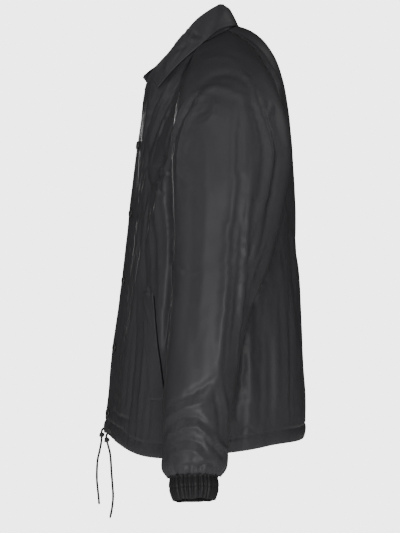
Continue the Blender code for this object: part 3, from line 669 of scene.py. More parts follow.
class Cloth:
    """A sheet of cloth on a form: its points, which way is out, and how far each point moves."""

    def __init__(self, form, across, down, turned_over=False, closed=False, turns=True):
        self.across, self.down, self.turns = np.array(across), np.array(down), turns
        step = across[1] - across[0]
        wide = list(across) if closed else [across[0] - step, *across, across[-1] + step]
        points = np.array([[form(a, d) for a in wide] for d in down])
        if closed:
            sideways = np.roll(points, -1, 1) - np.roll(points, 1, 1)
        else:
            sideways = points[:, 2:] - points[:, :-2]
            points = points[:, 1:-1]
        self.points = points
        out = np.cross(sideways, np.gradient(points, axis=0))
        out /= np.maximum(np.linalg.norm(out, axis=2, keepdims=True), 1e-12)
        self.out = -out if turned_over else out
        self.shift = np.zeros(points.shape[:2])
        self.along = self.lengths(0)
        self.around = self.lengths(1)

    def lengths(self, axis):
        """How far each point lies along the cloth from its first row or column."""
        steps = np.linalg.norm(np.diff(self.points, axis=axis), axis=2)
        start = np.zeros_like(np.take(steps, [0], axis=axis))
        return np.concatenate([start, np.cumsum(steps, axis=axis)], axis=axis)

    def cell(self, across, down):
        """Where a place lies in the grid, as column and row with their shares."""
        column = np.interp(across, self.across, np.arange(len(self.across)))
        row = np.interp(down, self.down, np.arange(len(self.down)))
        return column, row

    def around_place(self, across, down):
        """The grid cell that holds a place, and how much each of its four corners counts there."""
        column, row = self.cell(across, down)
        left, low = min(int(column), len(self.across) - 2), min(int(row), len(self.down) - 2)
        t, s = column - left, row - low
        weight = np.array([[(1 - s) * (1 - t), (1 - s) * t], [s * (1 - t), s * t]])[..., None]
        return (slice(low, low + 2), slice(left, left + 2)), weight

    def at(self, across, down, lift=0.0):
        """A point on the finished cloth, and the outward direction there."""
        corners, weight = self.around_place(across, down)
        out = (self.out[corners] * weight).sum((0, 1))
        out /= np.linalg.norm(out)
        return Vector((self.shaped(*corners) * weight).sum((0, 1)) + out * lift), Vector(out)

    def bare(self, across, down):
        """A point on the cloth's form at a place."""
        corners, weight = self.around_place(across, down)
        return (self.points[corners] * weight).sum((0, 1))

    def shaped(self, rows=slice(None), columns=slice(None)):
        """The cloth's points with their shift."""
        shift = self.shift[rows, columns, None]
        return self.points[rows, columns] + self.out[rows, columns] * shift

    def seat(self, across, height):
        """The row at which a turn of the cloth passes a height."""
        column = int(round(float(self.cell(across, self.down[0])[0])))
        heights = self.points[:, column, 2]
        return float(np.interp(height, heights, self.down))

    def fold(self, folds, side=1.0, fade=1.0):
        """Moves the cloth by the large folds that pass it."""
        for start, end, width, depth in folds:
            start, end = np.array((start, end)) * (side, 1.0, 1.0)
            run = end - start
            t = np.clip((self.points - start) @ run / (run @ run), 0.0, 1.0)
            distance = np.linalg.norm(self.points - start - t[..., None] * run, axis=2)
            ease = np.sin(math.pi * (0.15 + 0.7 * t))
            self.shift += depth * ease * np.exp(-((distance / width) ** 2)) * fade

    def crease(self, table, strength=1.0):
        """Adds the creases of a table, each a soft ridge or trough with a lower one on each side."""
        for start, middle, end, width, depth in table:
            places = [Vector((*p, 0.0)) for p in (start, middle, end)]
            path = [line_at(places, place) for place in evenly(0.0, 2.0, 10)]
            path = [self.bare(math.radians(p.x) if self.turns else p.x, p.y) for p in path]
            self.press(np.array(path), width / 1000.0, depth / 1000.0 * strength)

    def crease_seen(self, table, strength=1.0, side=1.0, apart=0.0):
        """Adds creases where the photograph shows them, or their uneven like on the other side."""
        points, out = self.points * (side, 1.0, 1.0), self.out * (side, 1.0, 1.0)
        places = seen(points)
        faces = out[..., 0] > SEEN_FACING
        for n, (path, width, depth) in enumerate(table):
            moved = Vector((math.sin(n * 2.3 + 0.5), 2.2 * math.cos(n * 1.7), 0.0)) * apart
            ways = [Vector((*place, 0.0)) + moved for place in path]
            count = 8 * (len(ways) - 1)
            found = []
            for k in range(count + 1):
                way = line_at(ways, (len(ways) - 1) * k / count)
                off = np.hypot(places[..., 0] - way.x, places[..., 1] - way.y)
                off = np.where(faces, off, np.inf)
                best = np.unravel_index(off.argmin(), off.shape)
                if off[best] < SEEN_WITHIN:
                    found.append(self.points[best])
            if len(found) > 2:
                uneven = 1.0 + 0.3 * math.sin(n * 3.1) * min(apart, 1.0)
                self.press(np.array(found), width / 1000.0, depth / 1000.0 * strength * uneven)

    def press(self, path, width, depth):
        """Presses one crease along a path into the cloth."""
        reach = 3.4 * width
        low, high = path.min(0) - reach, path.max(0) + reach
        near = ((self.points > low) & (self.points < high)).all(2)
        points = self.points[near]
        if not len(points):
            return
        best = np.full(len(points), np.inf)
        share = np.zeros(len(points))
        count = len(path) - 1
        for n in range(count):
            run = path[n + 1] - path[n]
            t = np.clip((points - path[n]) @ run / max(run @ run, 1e-12), 0.0, 1.0)
            distance = np.linalg.norm(points - path[n] - t[:, None] * run, axis=1)
            closer = distance < best
            best[closer] = distance[closer]
            share[closer] = (n + t[closer]) / count
        ease = np.sin(math.pi * (0.06 + 0.88 * share)) ** 0.8
        q = best / (width * (0.65 + 0.35 * ease))
        profile = 1.25 * np.exp(-(np.sqrt(q * q + 0.04) ** 1.7)) - 0.32 * np.exp(-((q / 2.1) ** 2))
        self.shift[near] += depth * ease * profile

    def rumple(self, size, depth, seed, stretch=(1.0, 1.0, 1.0), fade=1.0):
        """Adds a gentle unevenness of a given size in metres."""
        rows, columns = self.shift.shape
        scale = np.array(stretch) / size
        flat = (self.points * scale + seed * 7.31).reshape(-1, 3)
        values = np.array([noise.noise(Vector(p)) for p in flat]).reshape(rows, columns)
        self.shift += depth * values * fade

    def pucker(self, distance, along, pitch, depth, width, seed):
        """Adds the small pulls that run across a seam and die out beside it."""
        wander = np.array([noise.noise(Vector((seed, v / (pitch * 2.5), 0.0))) for v in along.flat])
        phase = 2.0 * math.pi * along / pitch + 5.0 * wander.reshape(along.shape)
        gone = np.exp(-((distance / width) ** 2)) * (1.0 - np.exp(-((distance / 0.0025) ** 2)))
        self.shift += depth * np.sin(phase) * gone

    def puff(self, distance, depth, width):
        """Lifts the cloth away from a seam that lies in a groove."""
        self.shift += depth * (1.0 - np.exp(-((distance / width) ** 2)))


def seen(points):
    """Where points lie in the photograph, in its pixels."""
    turn = math.radians(EYE_TURN)
    near = points[..., 0] * math.sin(turn) - points[..., 1] * math.cos(turn)
    across = points[..., 0] * math.cos(turn) + points[..., 1] * math.sin(turn)
    scale = EYE_SCALE * EYE_REACH / (EYE_REACH - near)
    up = scale * (points[..., 2] - EYE_HEIGHT)
    return np.stack([EYE_MIDDLE[0] + scale * across, EYE_MIDDLE[1] - up], -1)


def round_noise(turns, size, seed):
    """Noise that comes back to its start after a full turn."""
    ways = [Vector((math.cos(t) * size, math.sin(t) * size, seed)) for t in turns]
    return np.array([noise.noise(way) for way in ways])


def evenly(start, end, count):
    """Numbers from start to end, both kept."""
    return [start + (end - start) * n / count for n in range(count + 1)]


def sheet_mesh(name, points, around, along, closed=False, flip=False):
    """A mesh of grid points, with the cloth's own lengths in metres as its UV map."""
    rows, columns = points.shape[:2]
    across = columns if closed else columns - 1
    faces, places = [], []
    for row in range(rows - 1):
        for column in range(across):
            after = (column + 1) % columns
            corners = [(row, column), (row, after), (row + 1, after), (row + 1, column)]
            if flip:
                corners.reverse()
            faces.append([r * columns + c for r, c in corners])
            places += corners
    mesh = bpy.data.meshes.new(name)
    mesh.from_pydata(points.reshape(-1, 3).tolist(), [], faces)
    uv = mesh.uv_layers.new(name="cloth")
    index = np.array(places)
    u, v = around[index[:, 0], index[:, 1]], along[index[:, 0], index[:, 1]]
    uv.data.foreach_set("uv", np.stack([u, v], 1).astype(np.float32).ravel())
    mesh.shade_smooth()
    return mesh


def add_piece(name, data, finish, slot, *nodes):
    """A finished piece in the scene, which stands for its nodes and rides on the jacket."""
    made = bpy.data.objects.new(name, data)
    bpy.context.scene.collection.objects.link(made)
    if finish is not None:
        data.materials.append(finish)
    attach(made, ROOT)
    if nodes:
        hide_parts(*nodes)
    return made


def thicken(made, wall):
    """Gives a cloth piece its thickness, on the inside."""
    solidify = made.modifiers.new("Wall", "SOLIDIFY")
    solidify.thickness = wall
    solidify.offset = -1.0


def add_wear(mesh, values):
    """Keeps how much each point of a piece is rubbed, for its finish to read."""
    attribute = mesh.attributes.new("wear", "FLOAT", "POINT")
    attribute.data.foreach_set("value", np.clip(values, 0.0, 1.0).astype(np.float32).ravel())


class Link:
    """A shader value that can be used in sums."""

    def __init__(self, nodes, socket):
        self.nodes, self.socket = nodes, socket

    def join(self, operation, *values):
        """A sum of values or links, such as this one."""
        return self.nodes.node("ShaderNodeMath", {"operation": operation}, *values)

    def sine(self):
        """The sine of this value."""
        return self.join("SINE", self)

    def __add__(self, other):
        return self.join("ADD", self, other)

    def __sub__(self, other):
        return self.join("SUBTRACT", self, other)

    def __rsub__(self, other):
        return self.join("SUBTRACT", other, self)

    def __mul__(self, other):
        return self.join("MULTIPLY", self, other)

    __radd__ = __add__
    __rmul__ = __mul__


class Nodes:
    """A shader tree whose nodes are made by one method."""

    def __init__(self, tree, shader):
        self.tree, self.shader = tree, tree.nodes[shader]

    def node(self, kind, settings, *values, output=0, **named):
        """A node of a type, with its settings made first, then its sockets' values or links."""
        made = self.tree.nodes.new(kind)
        for key, value in settings.items():
            setattr(made, key, value)
        sockets = [*enumerate(values), *((k.replace("_", " "), v) for k, v in named.items())]
        for key, value in sockets:
            if isinstance(value, Link):
                self.tree.links.new(value.socket, made.inputs[key])
            elif value is not None:
                made.inputs[key].default_value = value
        return Link(self, made.outputs[output])

    def feed(self, name, link):
        """Joins a value to one of the shader's sockets."""
        self.tree.links.new(link.socket, self.shader.inputs[name])


class Finish(Nodes):
    """A material with a Principled shader."""

    def __init__(self, name, roughness, **constants):
        self.material = bpy.data.materials.new(name)
        self.material.use_nodes = True
        super().__init__(self.material.node_tree, "Principled BSDF")
        self.shader.inputs["Roughness"].default_value = roughness
        for socket, value in constants.items():
            self.shader.inputs[socket.replace("_", " ")].default_value = value

    def mix(self, share, first, second):
        """A colour between two, by a share."""
        other_kinds = [None] * 5
        settings = {"data_type": "RGBA"}
        values = (share, *other_kinds, first, second)
        return self.node("ShaderNodeMix", settings, *values, output=2)

    def shades(self, share, dark, light):
        """A colour from a darker to a lighter one."""
        return self.mix(share, (*dark, 1.0), (*light, 1.0))

    def noise(self, where, scale, detail=2.0, roughness=0.5):
        """Even noise over a surface, from 0 to 1."""
        values = {"Vector": where, "Scale": scale, "Detail": detail, "Roughness": roughness}
        return self.node("ShaderNodeTexNoise", {}, **values)

    def bump(self, height, strength, distance, under=None):
        """A bump of a height, over another one."""
        values = {"Strength": strength, "Distance": distance, "Height": height, "Normal": under}
        return self.node("ShaderNodeBump", {}, **values)

    def places(self):
        """Places across and along the piece's own UV map, in metres on cloth."""
        uv = self.node("ShaderNodeTexCoord", {}, output=2)
        return [self.node("ShaderNodeSeparateXYZ", {}, uv, output=n) for n in (0, 1)]


def shade(colour, times, more=0.0):
    """A colour made darker or lighter."""
    return tuple(min(c * times + more, 1.0) for c in colour)


def nylon_finish(name, colour, crumple=1.0, shine=0.2):
    """Smooth nylon taffeta: a fine plain weave, cloudy shades, soft crumples and rubbed edges."""
    made = Finish(name, 0.48, Specular_IOR_Level=shine)
    solid = made.node("ShaderNodeTexCoord", {}, output=3)
    wear = made.node("ShaderNodeAttribute", {"attribute_name": "wear"}, output=2)
    u, v = made.places()
    pitch = 2.0 * math.pi / WEAVE_PITCH
    weave = (u * pitch).sine() * (v * pitch).sine()
    cloudy = made.noise(solid, 9.0, 3.0)
    patchy = made.noise(solid, 42.0, 3.0, 0.6)
    crumples = made.noise(solid, 55.0, 2.0, 0.45)
    light = shade(colour, 1.18, 0.002)
    base = made.shades(cloudy * 0.6 + patchy * 0.4, shade(colour, 0.86), light)
    base = made.mix(wear * (0.25 + patchy * 0.6), base, (*shade(colour, 1.5, 0.006), 1.0))
    made.feed("Base Color", made.mix(weave * 0.05 + 0.05, base, (*light, 1.0)))
    made.feed("Roughness", 0.42 + cloudy * 0.08 + patchy * 0.05 + wear * 0.10)
    soft = made.bump(crumples, 0.10 * crumple, 0.004)
    made.feed("Normal", made.bump(weave, 0.05, 0.0001, soft))
    return made.material


def cord_finish(name, colour):
    """Braided cord: two sets of strands that cross, with a matt surface."""
    made = Finish(name, 0.75, Sheen_Weight=0.25, Sheen_Roughness=0.5)
    place = made.node("ShaderNodeTexCoord", {}, output=2)
    u, v = made.places()
    around, along = u * (2.0 * math.pi * PLAITS_ROUND), v * (2.0 * math.pi / PLAIT_PITCH)
    plaits = (around + along).sine() * (around - along).sine()
    fuzz = made.noise(place, 300.0, 2.0)
    light = shade(colour, 1.7, 0.004)
    made.feed("Base Color", made.shades(plaits * 0.3 + fuzz * 0.4, colour, light))
    made.feed("Roughness", 0.66 + fuzz * 0.2)
    made.feed("Normal", made.bump(plaits, 0.6, 0.0004))
    return made.material


def lacquer_finish(name, colour):
    """Black lacquered brass: smooth, with fine scuffs and a little brightness on worn edges."""
    made = Finish(name, 0.34, Metallic=0.35, Coat_Roughness=0.2)
    solid = made.node("ShaderNodeTexCoord", {}, output=3)
    scuffs = made.noise(solid, 900.0, 4.0, 0.7)
    cloudy = made.noise(solid, 120.0, 2.0)
    wear = made.node("ShaderNodeAttribute", {"attribute_name": "wear"}, output=2)
    made.feed("Base Color", made.shades(wear * scuffs, colour, (0.16, 0.15, 0.14)))
    made.feed("Roughness", 0.26 + cloudy * 0.14 + scuffs * 0.10)
    made.feed("Normal", made.bump(scuffs, 0.08, 0.0002))
    return made.material


def thread_finish(name, colour):
    """Sewing thread with its twist."""
    made = Finish(name, 0.55, Sheen_Weight=0.2)
    solid = made.node("ShaderNodeTexCoord", {}, output=3)
    twist = made.noise(solid, 2500.0, 1.0)
    made.feed("Base Color", made.shades(twist, colour, shade(colour, 1.6, 0.005)))
    made.feed("Roughness", 0.48 + twist * 0.2)
    return made.material


def stage_finish(name, colour, roughness):
    """A plain pale surface with the faintest unevenness."""
    made = Finish(name, roughness)
    solid = made.node("ShaderNodeTexCoord", {}, output=3)
    cloudy = made.noise(solid, 1.5, 2.0)
    made.feed("Base Color", made.shades(cloudy, shade(colour, 0.985), colour))
    made.feed("Roughness", roughness - 0.05 + cloudy * 0.1)
    return made.material


# Each finish: what makes it, which of the panel's colours it takes, and its own values
FINISHES = {
    "taffeta": (nylon_finish, "nylon"),
    # Darker copy of the taffeta for the cuffs, painted shade of their gathers
    "cuff taffeta": (nylon_finish, "cuff", 0.6, 0.15),
    # The strip behind each welt is near-black taffeta: painted shade of the shut pocket opening
    "pocket slit": (nylon_finish, "slit", 0.5, 0.1),
    "braided cord": (cord_finish, "cord"),
    "snap lacquer": (lacquer_finish, "snap"),
    "thread": (thread_finish, "thread"),
}


def finish_named(name):
    """A finish, made the first time that a piece asks for it."""
    if name not in bpy.data.materials:
        make, colour, *values = FINISHES[name]
        make(name, tuple(getattr(bpy.context.scene.jacket_colours, colour)), *values)
    return bpy.data.materials[name]


def body_cloth(start, end, columns):
    """Bare cloth of the body between two turns, with its large folds."""
    rows = evenly(0.0, 1.0, HEM_ROWS)[:-1] + evenly(1.0, 2.0, STEP_ROWS)[:-1]
    rows += evenly(2.0, float(BODY_TOP), PANEL_ROWS)
    cloth = Cloth(body_form, evenly(start, end, columns), rows)
    row = cloth.down[:, None]
    top = np.clip(BODY_TOP - row, 0.0, 1.0)
    clear = np.clip((np.abs(cloth.points[:, :, 0]) - PLACKET) / PLACKET, 0.0, 1.0)
    for side in (1.0, -1.0):
        half = np.clip(cloth.points[:, :, 0] * side / 0.02, 0.0, 1.0)
        cloth.fold(BODY_FOLDS, side, top * clear * half)
    return cloth


def shape_casing(cloth, seed):
    """Rounds the casing at the hem, sinks its stitch line and lets the drawcord gather it."""
    row = cloth.down[:, None]
    inside = np.clip(row, 0.0, 1.0)
    cloth.shift += 0.0012 * np.sin(math.pi * inside) * (row <= 1.0)
    height = cloth.along - np.interp(1.0, cloth.down, cloth.along[:, cloth.along.shape[1] // 2])
    cloth.shift -= 0.0014 * np.exp(-((height / 0.0022) ** 2))
    for pitch, depth in ((0.021, 0.0009), (0.0085, 0.0006)):
        wander = [noise.noise(Vector((v / pitch, seed, 0.3))) for v in cloth.around.flat]
        pulls = np.array(wander).reshape(cloth.around.shape)
        cloth.shift += depth * 1.6 * pulls * np.exp(-((height / 0.024) ** 2))


def finish_body(cloth, seams, seed):
    """Adds the seam grooves, their puckers and a light unevenness all over."""
    top = cloth.along[-1:, :] - cloth.along
    calm = 1.0 - np.exp(-((top / SEAM_CALM) ** 2))
    cloth.shift *= calm
    cloth.puff(top, *SEAM_RISE)
    cloth.pucker(top, cloth.around, 0.013, 0.0007, 0.016, seed)
    for distance in seams:
        cloth.puff(distance, *SEAM_RISE)
        cloth.pucker(distance, cloth.along, 0.016, 0.0006, 0.014, seed + 3.0)
    cloth.rumple(0.055, 0.0016, seed, (1.0, 1.0, 0.45), calm)
    cloth.rumple(0.020, 0.0005, seed + 5.0, (1.0, 1.0, 0.6), calm)


def hem_rows(cloth, points):
    """The cloth with its hem turned up inside: the turned-up part, the roll and the outer part."""
    last = int(np.searchsorted(cloth.down, 1.0))
    inner = points[: last + 1] - cloth.out[: last + 1] * HEM_FOLD
    roll = []
    for n in range(1, 6):
        turn = math.pi * n / 6.0
        middle = points[0] - cloth.out[0] * HEM_FOLD / 2.0
        across = cloth.out[0] * (HEM_FOLD / 2.0 * -math.cos(turn))
        roll.append(middle + across + np.array((0.0, 0.0, -HEM_FOLD / 2.0 * math.sin(turn))))
    everything = np.concatenate([inner[::-1], np.array(roll), points])
    before = len(inner) + len(roll)
    inside = cloth.along[:1] - np.arange(before, 0, -1)[:, None] * 0.0027
    along = np.concatenate([inside, cloth.along])
    around = np.concatenate([np.repeat(cloth.around[:1], before, 0), cloth.around])
    return everything, around, along, before


def body_piece(name, cloth, wear, sizes, *nodes):
    """One body panel as a piece."""
    points, around, along, before = hem_rows(cloth, cloth.shaped())
    mesh = sheet_mesh(name, points, around, along)
    hem = np.exp(-(((along - along[before : before + 1]) / 0.004) ** 2))
    rubbed = np.concatenate([np.repeat(wear[:1], before, 0), wear])
    add_wear(mesh, rubbed + 0.6 * hem)
    made = add_piece(name, mesh, finish_named("taffeta"), "nylon", *nodes)
    thicken(made, sizes.cloth)
    return made


def stitch(cloth, places):
    """Keeps a line of places on a cloth to be stitched."""
    STITCH_LINES.append([cloth.at(a, d, STITCH_LIFT)[0] for a, d in places])


class JacketSizes(bpy.types.PropertyGroup):
    """Sizes that a user would change."""

    cloth: bpy.props.FloatProperty(
        name="Cloth", description="Thickness of the nylon", default=0.0005, unit="LENGTH"
    )
    crease: bpy.props.FloatProperty(
        name="Creases",
        description="Strength of the creases",
        default=1.25,
        min=0.0,
        max=2.0,
        subtype="FACTOR",
    )
    stitch_length: bpy.props.FloatProperty(
        name="Stitch", description="Length of one stitch", default=0.0023, unit="LENGTH"
    )
    stitch_pitch: bpy.props.FloatProperty(
        name="Stitch pitch",
        description="From one stitch to the next",
        default=0.0031,
        unit="LENGTH",
    )
    thread: bpy.props.FloatProperty(
        name="Thread", description="Radius of the thread", default=0.00022, unit="LENGTH"
    )
    cord: bpy.props.FloatProperty(
        name="Cord", description="Radius of the drawcord", default=0.0019, unit="LENGTH"
    )
    pleats: bpy.props.IntProperty(
        name="Pleats",
        description="Pleats round one cuff",
        default=28,
        min=6,
        max=60,
        subtype="UNSIGNED",
    )


class JacketColours(bpy.types.PropertyGroup):
    """Colours that a user would change."""

    nylon: bpy.props.FloatVectorProperty(
        name="Nylon",
        description="Body and sleeves",
        default=(0.041, 0.0395, 0.0435),
        subtype="COLOR",
    )
    # The cuffs' taffeta is the body's taffeta made darker: painted shade of the gathers
    cuff: bpy.props.FloatVectorProperty(
        name="Cuff",
        description="Gathered cuffs",
        default=(0.015, 0.0145, 0.016),
        subtype="COLOR",
    )
    # Near-black colour of the strip behind each welt: painted shade of the shut pocket opening
    slit: bpy.props.FloatVectorProperty(
        name="Slit",
        description="Shadow in the pocket openings",
        default=(0.002, 0.002, 0.0025),
        subtype="COLOR",
    )
    cord: bpy.props.FloatVectorProperty(
        name="Cord", description="Drawcord", default=(0.006, 0.006, 0.006), subtype="COLOR"
    )
    snap: bpy.props.FloatVectorProperty(
        name="Snaps",
        description="Snap caps and eyelets",
        default=(0.010, 0.010, 0.011),
        subtype="COLOR",
    )
    thread: bpy.props.FloatVectorProperty(
        name="Thread",
        description="Sewing thread",
        default=(0.016, 0.016, 0.017),
        subtype="COLOR",
    )
    floor: bpy.props.FloatVectorProperty(
        name="Floor", description="Floor", default=(0.95, 0.95, 0.95), subtype="COLOR"
    )


def add_light(name, place, target, size, power):
    """A square soft light aimed at a point."""
    data = bpy.data.lights.new(name, "AREA")
    data.shape, data.size, data.energy = "SQUARE", size, power
    made = bpy.data.objects.new(name, data)
    made.location = place
    made.rotation_euler = (Vector(target) - Vector(place)).to_track_quat("-Z", "Y").to_euler()
    bpy.context.scene.collection.objects.link(made)


class JACKET_OT_stage(bpy.types.Operator):
    """Adds the floor, the soft studio lights and the camera"""

    bl_idname = "jacket.stage"
    bl_label = "Stage"

    def execute(self, context):
        colours = context.scene.jacket_colours
        near, far, wide = FLOOR_NEAR, FLOOR_FAR, FLOOR_SIDE
        corners = [(near, -wide), (near, wide), (far, wide), (far, -wide)]
        plane = bpy.data.meshes.new("floor")
        plane.from_pydata([(x, y, FLOOR_Z) for x, y in corners], [], [(0, 1, 2, 3)])
        plane.materials.append(stage_finish("pale floor", tuple(colours.floor), 0.8))
        floor = bpy.data.objects.new("floor", plane)
        context.scene.collection.objects.link(floor)
        world = bpy.data.worlds.new("pale studio")
        context.scene.world = world
        world.use_nodes = True
        studio = Nodes(world.node_tree, "Background")
        rays = studio.node("ShaderNodeLightPath", {})
        low, high = STUDIO_GLOW
        studio.feed("Strength", studio.node("ShaderNodeMapRange", {}, rays, To_Min=low, To_Max=high))
        studio.shader.inputs["Color"].default_value = (1.0, 1.0, 1.0, 1.0)
        for light in LIGHTS:
            add_light(*light)
        turn = math.radians(EYE_TURN)
        side = Vector((math.sin(turn), -math.cos(turn), 0.0))
        right = Vector((math.cos(turn), math.sin(turn), 0.0))
        data = bpy.data.cameras.new("camera")
        data.lens, data.sensor_width, data.sensor_fit = EYE_LENS, 36.0, "AUTO"
        camera = bpy.data.objects.new("camera", data)
        camera.location = side * EYE_REACH + Vector((0.0, 0.0, EYE_HEIGHT))
        target = right * EYE_AIM[0] + Vector((0.0, 0.0, EYE_AIM[1]))
        aim = target - camera.location
        camera.rotation_euler = aim.to_track_quat("-Z", "Y").to_euler()
        context.scene.collection.objects.link(camera)
        context.scene.camera = camera
        return {"FINISHED"}


def cord_route(side, ways):
    """A free end's route, straight out of its eyelet and then through its own points."""
    node = "eyelet_left" if side > 0 else "eyelet_right"
    low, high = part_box(node)
    middle = (low + high) / 2.0
    cloth = CLOTHS["front_left" if side > 0 else "front_right"]
    turn = side * EYELET_TURN
    outward = cloth.at(turn, cloth.seat(turn, EYELET_Z))[1]
    start = middle - outward * 0.0009
    return [start, start + outward * CORD_EXIT] + [Vector(way) for way in ways]


def tube_mesh(name, path, radii, sides=14):
    """A round tube along points, closed at both ends, with its turn and length as its UV map."""
    points, places = [], []
    side = (path[1] - path[0]).orthogonal().normalized()
    length = 0.0
    for n, middle in enumerate(path):
        way = (path[min(n + 1, len(path) - 1)] - path[max(n - 1, 0)]).normalized()
        side = (side - way * side.dot(way)).normalized()
        other = way.cross(side)
        length += (middle - path[n - 1]).length if n else 0.0
        for k in range(sides + 1):
            turn = 2.0 * math.pi * (k % sides) / sides
            around = side * math.cos(turn) + other * math.sin(turn)
            points.append(middle + around * radii[n])
            places.append((k / sides, length))
    grid = np.array(points).reshape(len(path), sides + 1, 3)
    spots = np.array(places).reshape(len(path), sides + 1, 2)
    mesh = sheet_mesh(name, grid, spots[..., 0], spots[..., 1])
    work = bmesh.new()
    work.from_mesh(mesh)
    bmesh.ops.remove_doubles(work, verts=work.verts, dist=1e-6)
    bmesh.ops.holes_fill(work, edges=[e for e in work.edges if e.is_boundary], sides=0)
    bmesh.ops.recalc_face_normals(work, faces=work.faces)
    work.to_mesh(mesh)
    work.free()
    mesh.shade_smooth()
    return mesh


class JACKET_OT_cords(bpy.types.Operator):
    """Adds the drawcord's free ends and their knots"""

    bl_idname = "jacket.cords"
    bl_label = "Drawcord"

    def execute(self, context):
        sizes = context.scene.jacket_sizes
        for name, side, ways in (("left", 1.0, CORD_LEFT), ("right", -1.0, CORD_RIGHT)):
            route = cord_route(side, ways)
            last = len(route) - 1
            path = [line_at(route, place) for place in evenly(0.0, last, CORD_STEPS)]
            waves = [math.sin(n * 0.9 + side) for n in range(CORD_STEPS + 1)]
            radii = [sizes.cord * (1.0 + 0.03 * wave) for wave in waves]
            radii[-1] *= 0.55
            radii[-2] *= 0.86
            cord = add_piece(
                f"drawcord_{name}",
                tube_mesh(f"drawcord_{name}", path, radii),
                finish_named("braided cord"),
                "cord",
                f"cord_{name}",
            )
            knot = self.knot(name, side, route, sizes)
            length = sum((path[n + 1] - path[n]).length for n in range(CORD_STEPS))
        return {"FINISHED"}

    def knot(self, name, side, route, sizes):
        """A tight overhand knot round its own cord."""
        middle = line_at(route, KNOT_PLACE)
        way = (line_at(route, KNOT_PLACE + 0.1) - line_at(route, KNOT_PLACE - 0.1)).normalized()
        across = way.orthogonal().normalized()
        other = way.cross(across)
        path = []
        for t in evenly(0.0, 2.0 * math.pi, CORD_STEPS):
            x = (math.sin(t) + 2.0 * math.sin(2.0 * t)) * 0.00122
            y = (math.cos(t) - 2.0 * math.cos(2.0 * t)) * 0.00118
            z = -math.sin(3.0 * t + 0.4 * side) * 0.0021
            path.append(middle + across * x + other * y + way * z)
        return add_piece(
            f"drawcord_knot_{name}",
            tube_mesh(f"drawcord_knot_{name}", path, [sizes.cord * 0.9] * len(path), 12),
            finish_named("braided cord"),
            "cord",
            f"knot_{name}",
        )


def unlike(table, full=0.0, sign=1.0):
    """Creases of the same kind as a table's, each a little apart from its twin, for another place."""
    made = []
    for n, (*places, width, depth) in enumerate(table):
        turn, row = 2.2 * math.sin(n * 1.9 + 0.4), 0.35 * math.sin(n * 2.7 + 1.1)
        moved = [(full + sign * p[0] + turn, max(p[1] + row, 0.0)) for p in places]
        wide, deep = 1.0 + 0.2 * math.sin(n), 0.85 + 0.4 * math.cos(n * 1.3)
        made.append((*moved, width * wide, depth * deep))
    return made


